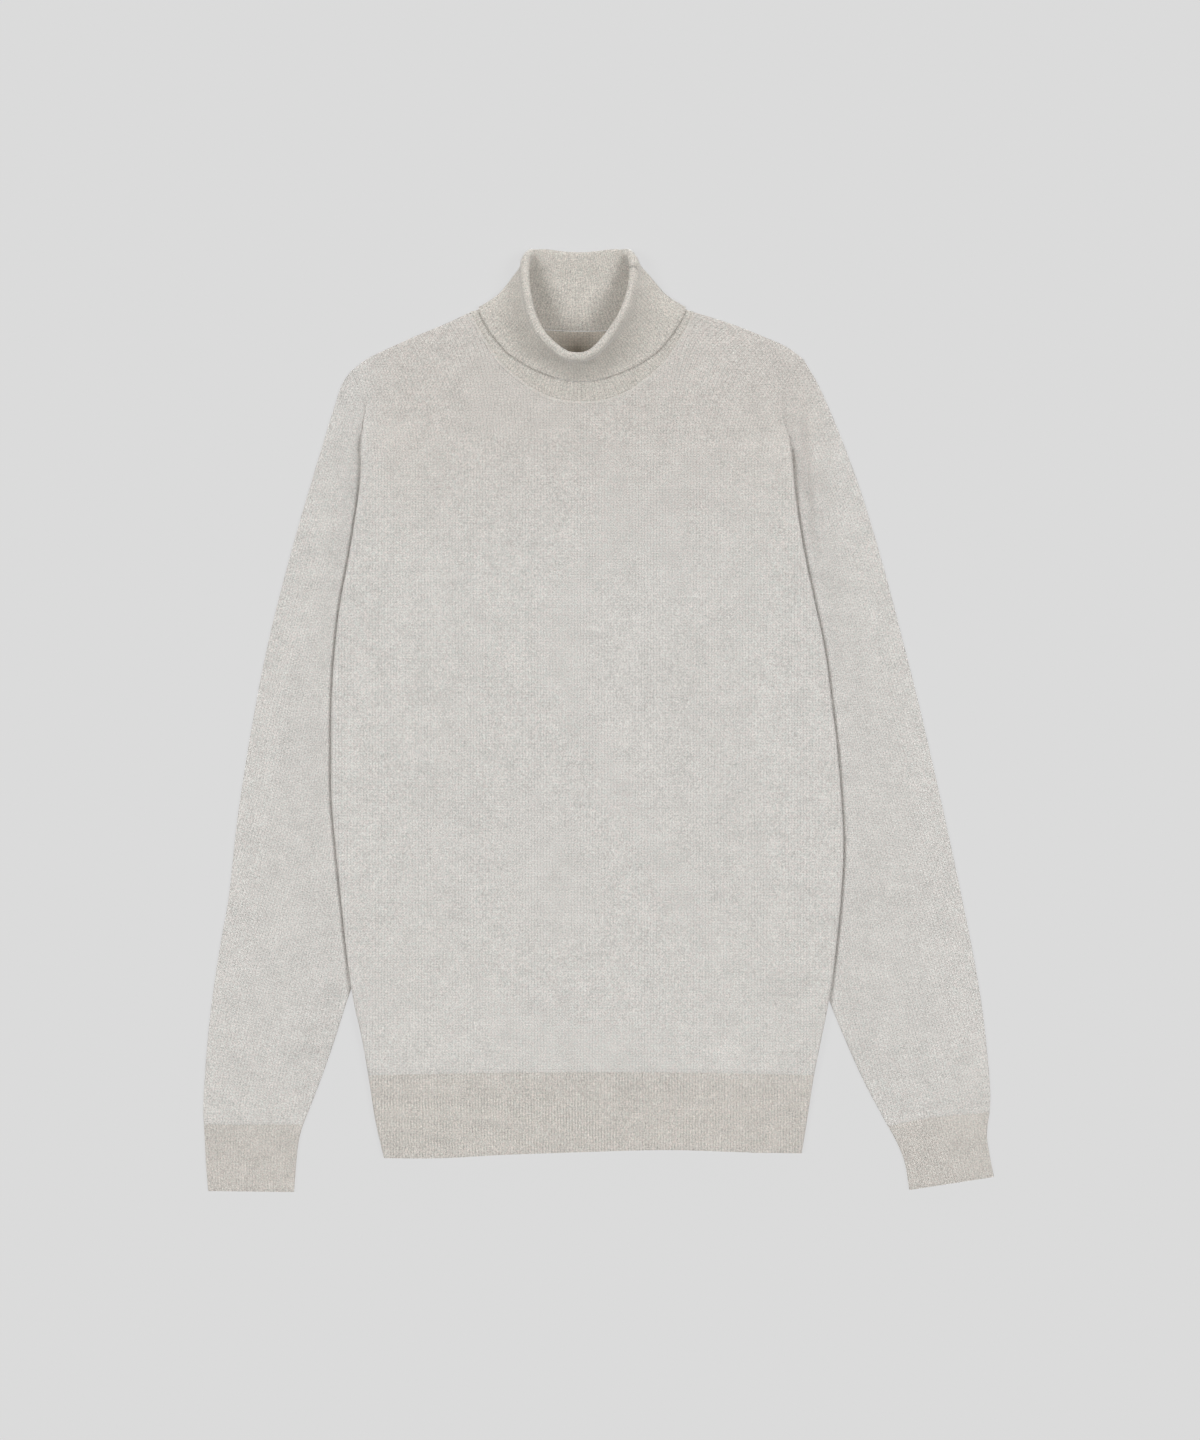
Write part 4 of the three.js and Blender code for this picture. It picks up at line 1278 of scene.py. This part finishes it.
def yarn_colour(tree, specks, tone, colour):
    """The yarn's colour with warm and cool specks, made lighter or darker by the tone."""
    tint = tree.nodes.new("ShaderNodeValToRGB")
    tree.links.new(math_node(tree, "ADD", specks, 0.5), tint.inputs["Fac"])
    ramp = zip(tint.color_ramp.elements, (0.3, 0.7), (WARM_SPECK, COOL_SPECK))
    for element, position, speck in ramp:
        element.position = position
        element.color = (*(c * s for c, s in zip(colour, speck)), 1)
    shade = tree.nodes.new("ShaderNodeVectorMath")
    shade.operation = "SCALE"
    tree.links.new(tint.outputs["Color"], shade.inputs[0])
    tree.links.new(tone, shade.inputs["Scale"])
    return shade.outputs[0]


def painted_yoke_shade(tree, place):
    """Mask of the painted yoke shade: 1 between the shoulders, 0 below and beside them."""
    high = step_up(tree, place[1], *YOKE_SHADE_HIGH)
    inside = step_down(tree, math_node(tree, "ABSOLUTE", place[0]), *YOKE_SHADE_SIDES)
    return math_node(tree, "MULTIPLY", high, inside)


# %% Knit material
def knit(name, colour, wale, course, depth, rib, grain=1.0, seam_at=None, tape_at=None):
    """A knitted cloth.

    wale and course are the stitch's width and height in millimetres. depth and rib say how dark the
    spaces between the loops and the valleys between the columns are made: painted shade of these
    small hollows, on top of the bump. rib also sets how deep the valleys are in the bump.
    """
    material = bpy.data.materials.new(name)
    material.use_nodes = True
    tree = material.node_tree
    shader = tree.nodes["Principled BSDF"]
    shader.inputs["Roughness"].default_value = 0.92
    shader.inputs["Specular IOR Level"].default_value = 0.2
    shader.inputs["Sheen Weight"].default_value = 1.0
    shader.inputs["Sheen Roughness"].default_value = 0.3

    space = tree.nodes.new("ShaderNodeTexCoord").outputs["Object"]
    body_place = split(tree, space)
    cloth = tree.nodes.new("ShaderNodeUVMap")
    cloth.uv_map = "cloth"
    flat_place = split(tree, cloth.outputs["UV"])
    wander = math_node(tree, "MULTIPLY", noise(tree, space, *WANDER), 0.2)
    across, weave = stitches(tree, flat_place, wale, course, wander)
    valley = math_node(tree, "COSINE", math_node(tree, "MULTIPLY", across, 2 * math.pi))
    heather = noise(tree, space, *GRAINS)
    drift, streaks = noise(tree, space, *DRIFT), noise(tree, space, *STREAKS)
    tones = [(heather, HEATHER * grain), (drift, DRIFTING), (streaks, STREAKING)]
    # painted shade: the colour is darker where the yarn sinks, between the loops and in the rib
    # valleys
    tones += [(weave, depth), (valley, -rib)]
    heights = [(heather, 0.5), (valley, -2.0 * rib)]
    if seam_at is not None:
        groove = seam_groove(tree, flat_place, *seam_at)
        tones.append((groove, -0.32))
        heights.append((groove, -0.8))
    if tape_at is not None:
        ridge = tape_ridge(tree, body_place, tape_at)
        tones.append((ridge, 0.09))
        heights.append((ridge, 0.8))

    tone = summed(tree, 1.0, tones)
    shaded = yarn_colour(tree, noise(tree, space, *SPECKS), tone, colour)
    # painted shade: the yoke is made darker and warmer, for the dimmer light there
    yoke_shaded = mix_colours(tree, "MULTIPLY", painted_yoke_shade(tree, body_place), shaded, PAINTED_YOKE_SHADE)
    tree.links.new(yoke_shaded, shader.inputs["Base Color"])
    bump = tree.nodes.new("ShaderNodeBump")
    bump.inputs["Strength"].default_value = 0.5
    bump.inputs["Distance"].default_value = 0.0005
    tree.links.new(summed(tree, weave, heights), bump.inputs["Height"])
    tree.links.new(bump.outputs["Normal"], shader.inputs["Normal"])
    return material


def linear(red, green, blue):
    """Colour values from 0 to 255 as the linear ones that Blender's shaders take."""
    return tuple(
        c / 12.92 if c < 0.04045 else ((c + 0.055) / 1.055) ** 2.4
        for c in (v / 255 for v in (red, green, blue))
    )


# %% [markdown]
# Plain knit, rib and the linked loops differ in their stitch and in how deep it looks, and a
# piece's colour is what the photograph shows on it. The collar's closing seam shows for 9 mm from
# the top of the stand on, where the cloth rolls over, on the wearer's left side.

# %% Wool of each piece
CLOSING_SEAM_AT, CLOSING_SEAM_LONG = 6.45, 9
TAPE_Y = 0.3075
seam_x = float(np.interp(CLOSING_SEAM_AT, at, round_cloth)) * MM
rim_up = up_cloth[STAND_ROWS - 1]
closing_seam = (seam_x, rim_up * MM, (rim_up + CLOSING_SEAM_LONG) * MM)
wool = knit("grey_wool_knit", linear(210, 207, 203), 2.5, 2.1, 0.28, 0.045)
# painted shade: the back's inside gets a darker colour, for the deep hollow inside the collar where
# it shows
wool_inside_painted_shade = knit(
    "grey_wool_inside_painted_shade", linear(198, 192, 183), 2.5, 2.1, 0.3, 0.05, tape_at=TAPE_Y
)
wool_rib = knit("grey_wool_rib", linear(202, 197, 191), 2.4, 1.9, 0.2, 0.08, grain=1.3)
wool_cuff = knit("grey_wool_cuff", linear(202, 197, 191), 2.4, 1.9, 0.12, 0.03, grain=1.05)
wool_collar = knit(
    "grey_wool_collar",
    linear(207, 204, 198),
    2.4,
    1.7,
    0.2,
    0.06,
    grain=1.3,
    seam_at=closing_seam,
)
# painted highlight: the linking is coloured lighter than the body, for the light on its raised
# loops
wool_link_painted_highlight = knit("wool_linking_painted_highlight", linear(220, 217, 212), 1.2, 1.6, 0.12, 0.0, grain=0.7)
back.data.materials.append(wool_inside_painted_shade)
for piece in (front, *sleeves.values()):
    piece.data.materials.append(wool)
for piece in (hem_front, hem_back):
    piece.data.materials.append(wool_rib)
for piece in cuffs.values():
    piece.data.materials.append(wool_cuff)
collar.data.materials.append(wool_collar)
neck_bead.data.materials.append(wool_link_painted_highlight)
print("wools:", [m.name for m in (wool, wool_inside_painted_shade, wool_rib, wool_cuff, wool_collar, wool_link_painted_highlight)])

# %% [markdown]

# %% [markdown]
# The table is a plain pale surface. It glows a little, which keeps it as even as the table in the
# photograph.

# %% Table
FLOOR_HALF = 6.0  # metres, so wide that no view sees its edge near the sweater
BELOW_CLOTH = 0.0005
TABLE_GREY = 0.08
TABLE_GLOW = 0.629

bm = bmesh.new()
bmesh.ops.create_grid(bm, x_segments=1, y_segments=1, size=FLOOR_HALF)
bmesh.ops.translate(bm, verts=bm.verts, vec=(0, 0, -BELOW_CLOTH))
floor_mesh = bpy.data.meshes.new("floor")
bm.to_mesh(floor_mesh)
bm.free()
floor = bpy.data.objects.new("floor", floor_mesh)
bpy.context.scene.collection.objects.link(floor)
paper = bpy.data.materials.new("pale_paper")
paper.use_nodes = True
table_top = paper.node_tree.nodes["Principled BSDF"]
table_top.inputs["Base Color"].default_value = (TABLE_GREY, TABLE_GREY, TABLE_GREY, 1)
table_top.inputs["Roughness"].default_value = 1.0
table_top.inputs["Specular IOR Level"].default_value = 0.0
table_top.inputs["Emission Color"].default_value = (1, 1, 1, 1)
table_top.inputs["Emission Strength"].default_value = TABLE_GLOW
floor.data.materials.append(paper)

# %% [markdown]
# The sweater lies in a white tent. Two soft lamps stand left and right of it and shine down at a
# slant, as on a copy stand, so folds keep soft shadows and the inside of the collar falls dark.
# The tent gives a dim, even light, and only its wall behind the neck is bright near the table,
# which lights the edges that look that way.

# %% Light
TENT_DIM = (0.18, 0.171, 0.149)
TENT_WALL = (4.4, 4.4, 4.4)
WALL_HIGH = 0.3  # the wall fades out from the table up to this part of the sky
WALL_SIDES = (-0.2, 0.4)  # and from behind the neck round to the sides
LAMP_ANGLE = 24  # how wide a lamp looks from the table, in degrees
LAMP_ENERGY = 1.412
LAMP_COLOUR = (1, 1.016, 1.041)
LAMP_OUT, LAMP_Y, LAMP_UP = 1.4, -0.3, 1.5
SHINES_IN, SHINES_Y, SHINES_DOWN = 0.53, 0.04, 0.84

world = bpy.data.worlds.new("tent")
bpy.context.scene.world = world
world.use_nodes = True
tent = world.node_tree
direction = split(tent, tent.nodes.new("ShaderNodeTexCoord").outputs["Generated"])
low = step_up(tent, direction[2], WALL_HIGH, 0.0)
behind_neck = step_up(tent, direction[1], *WALL_SIDES)
wall = math_node(tent, "MULTIPLY", low, behind_neck)
background = tent.nodes["Background"]
tent.links.new(mix_colours(tent, "MIX", wall, TENT_DIM, TENT_WALL), background.inputs["Color"])
background.inputs["Strength"].default_value = 1.0

for name, sign in (("left_softbox", -1), ("right_softbox", 1)):
    lamp = bpy.data.lights.new(name, "SUN")
    lamp.angle = math.radians(LAMP_ANGLE)
    lamp.energy = LAMP_ENERGY
    lamp.color = LAMP_COLOUR
    lamp_object = bpy.data.objects.new(name, lamp)
    lamp_object.location = (sign * LAMP_OUT, LAMP_Y, LAMP_UP)
    aim = Vector((-sign * SHINES_IN, SHINES_Y, -SHINES_DOWN))
    lamp_object.rotation_euler = aim.to_track_quat("-Z", "Y").to_euler()
    bpy.context.scene.collection.objects.link(lamp_object)
bpy.context.scene.view_settings.view_transform = "Standard"
slant = math.degrees(math.atan2(SHINES_IN, SHINES_DOWN))
print("lamps", round(slant), "degrees from straight above")
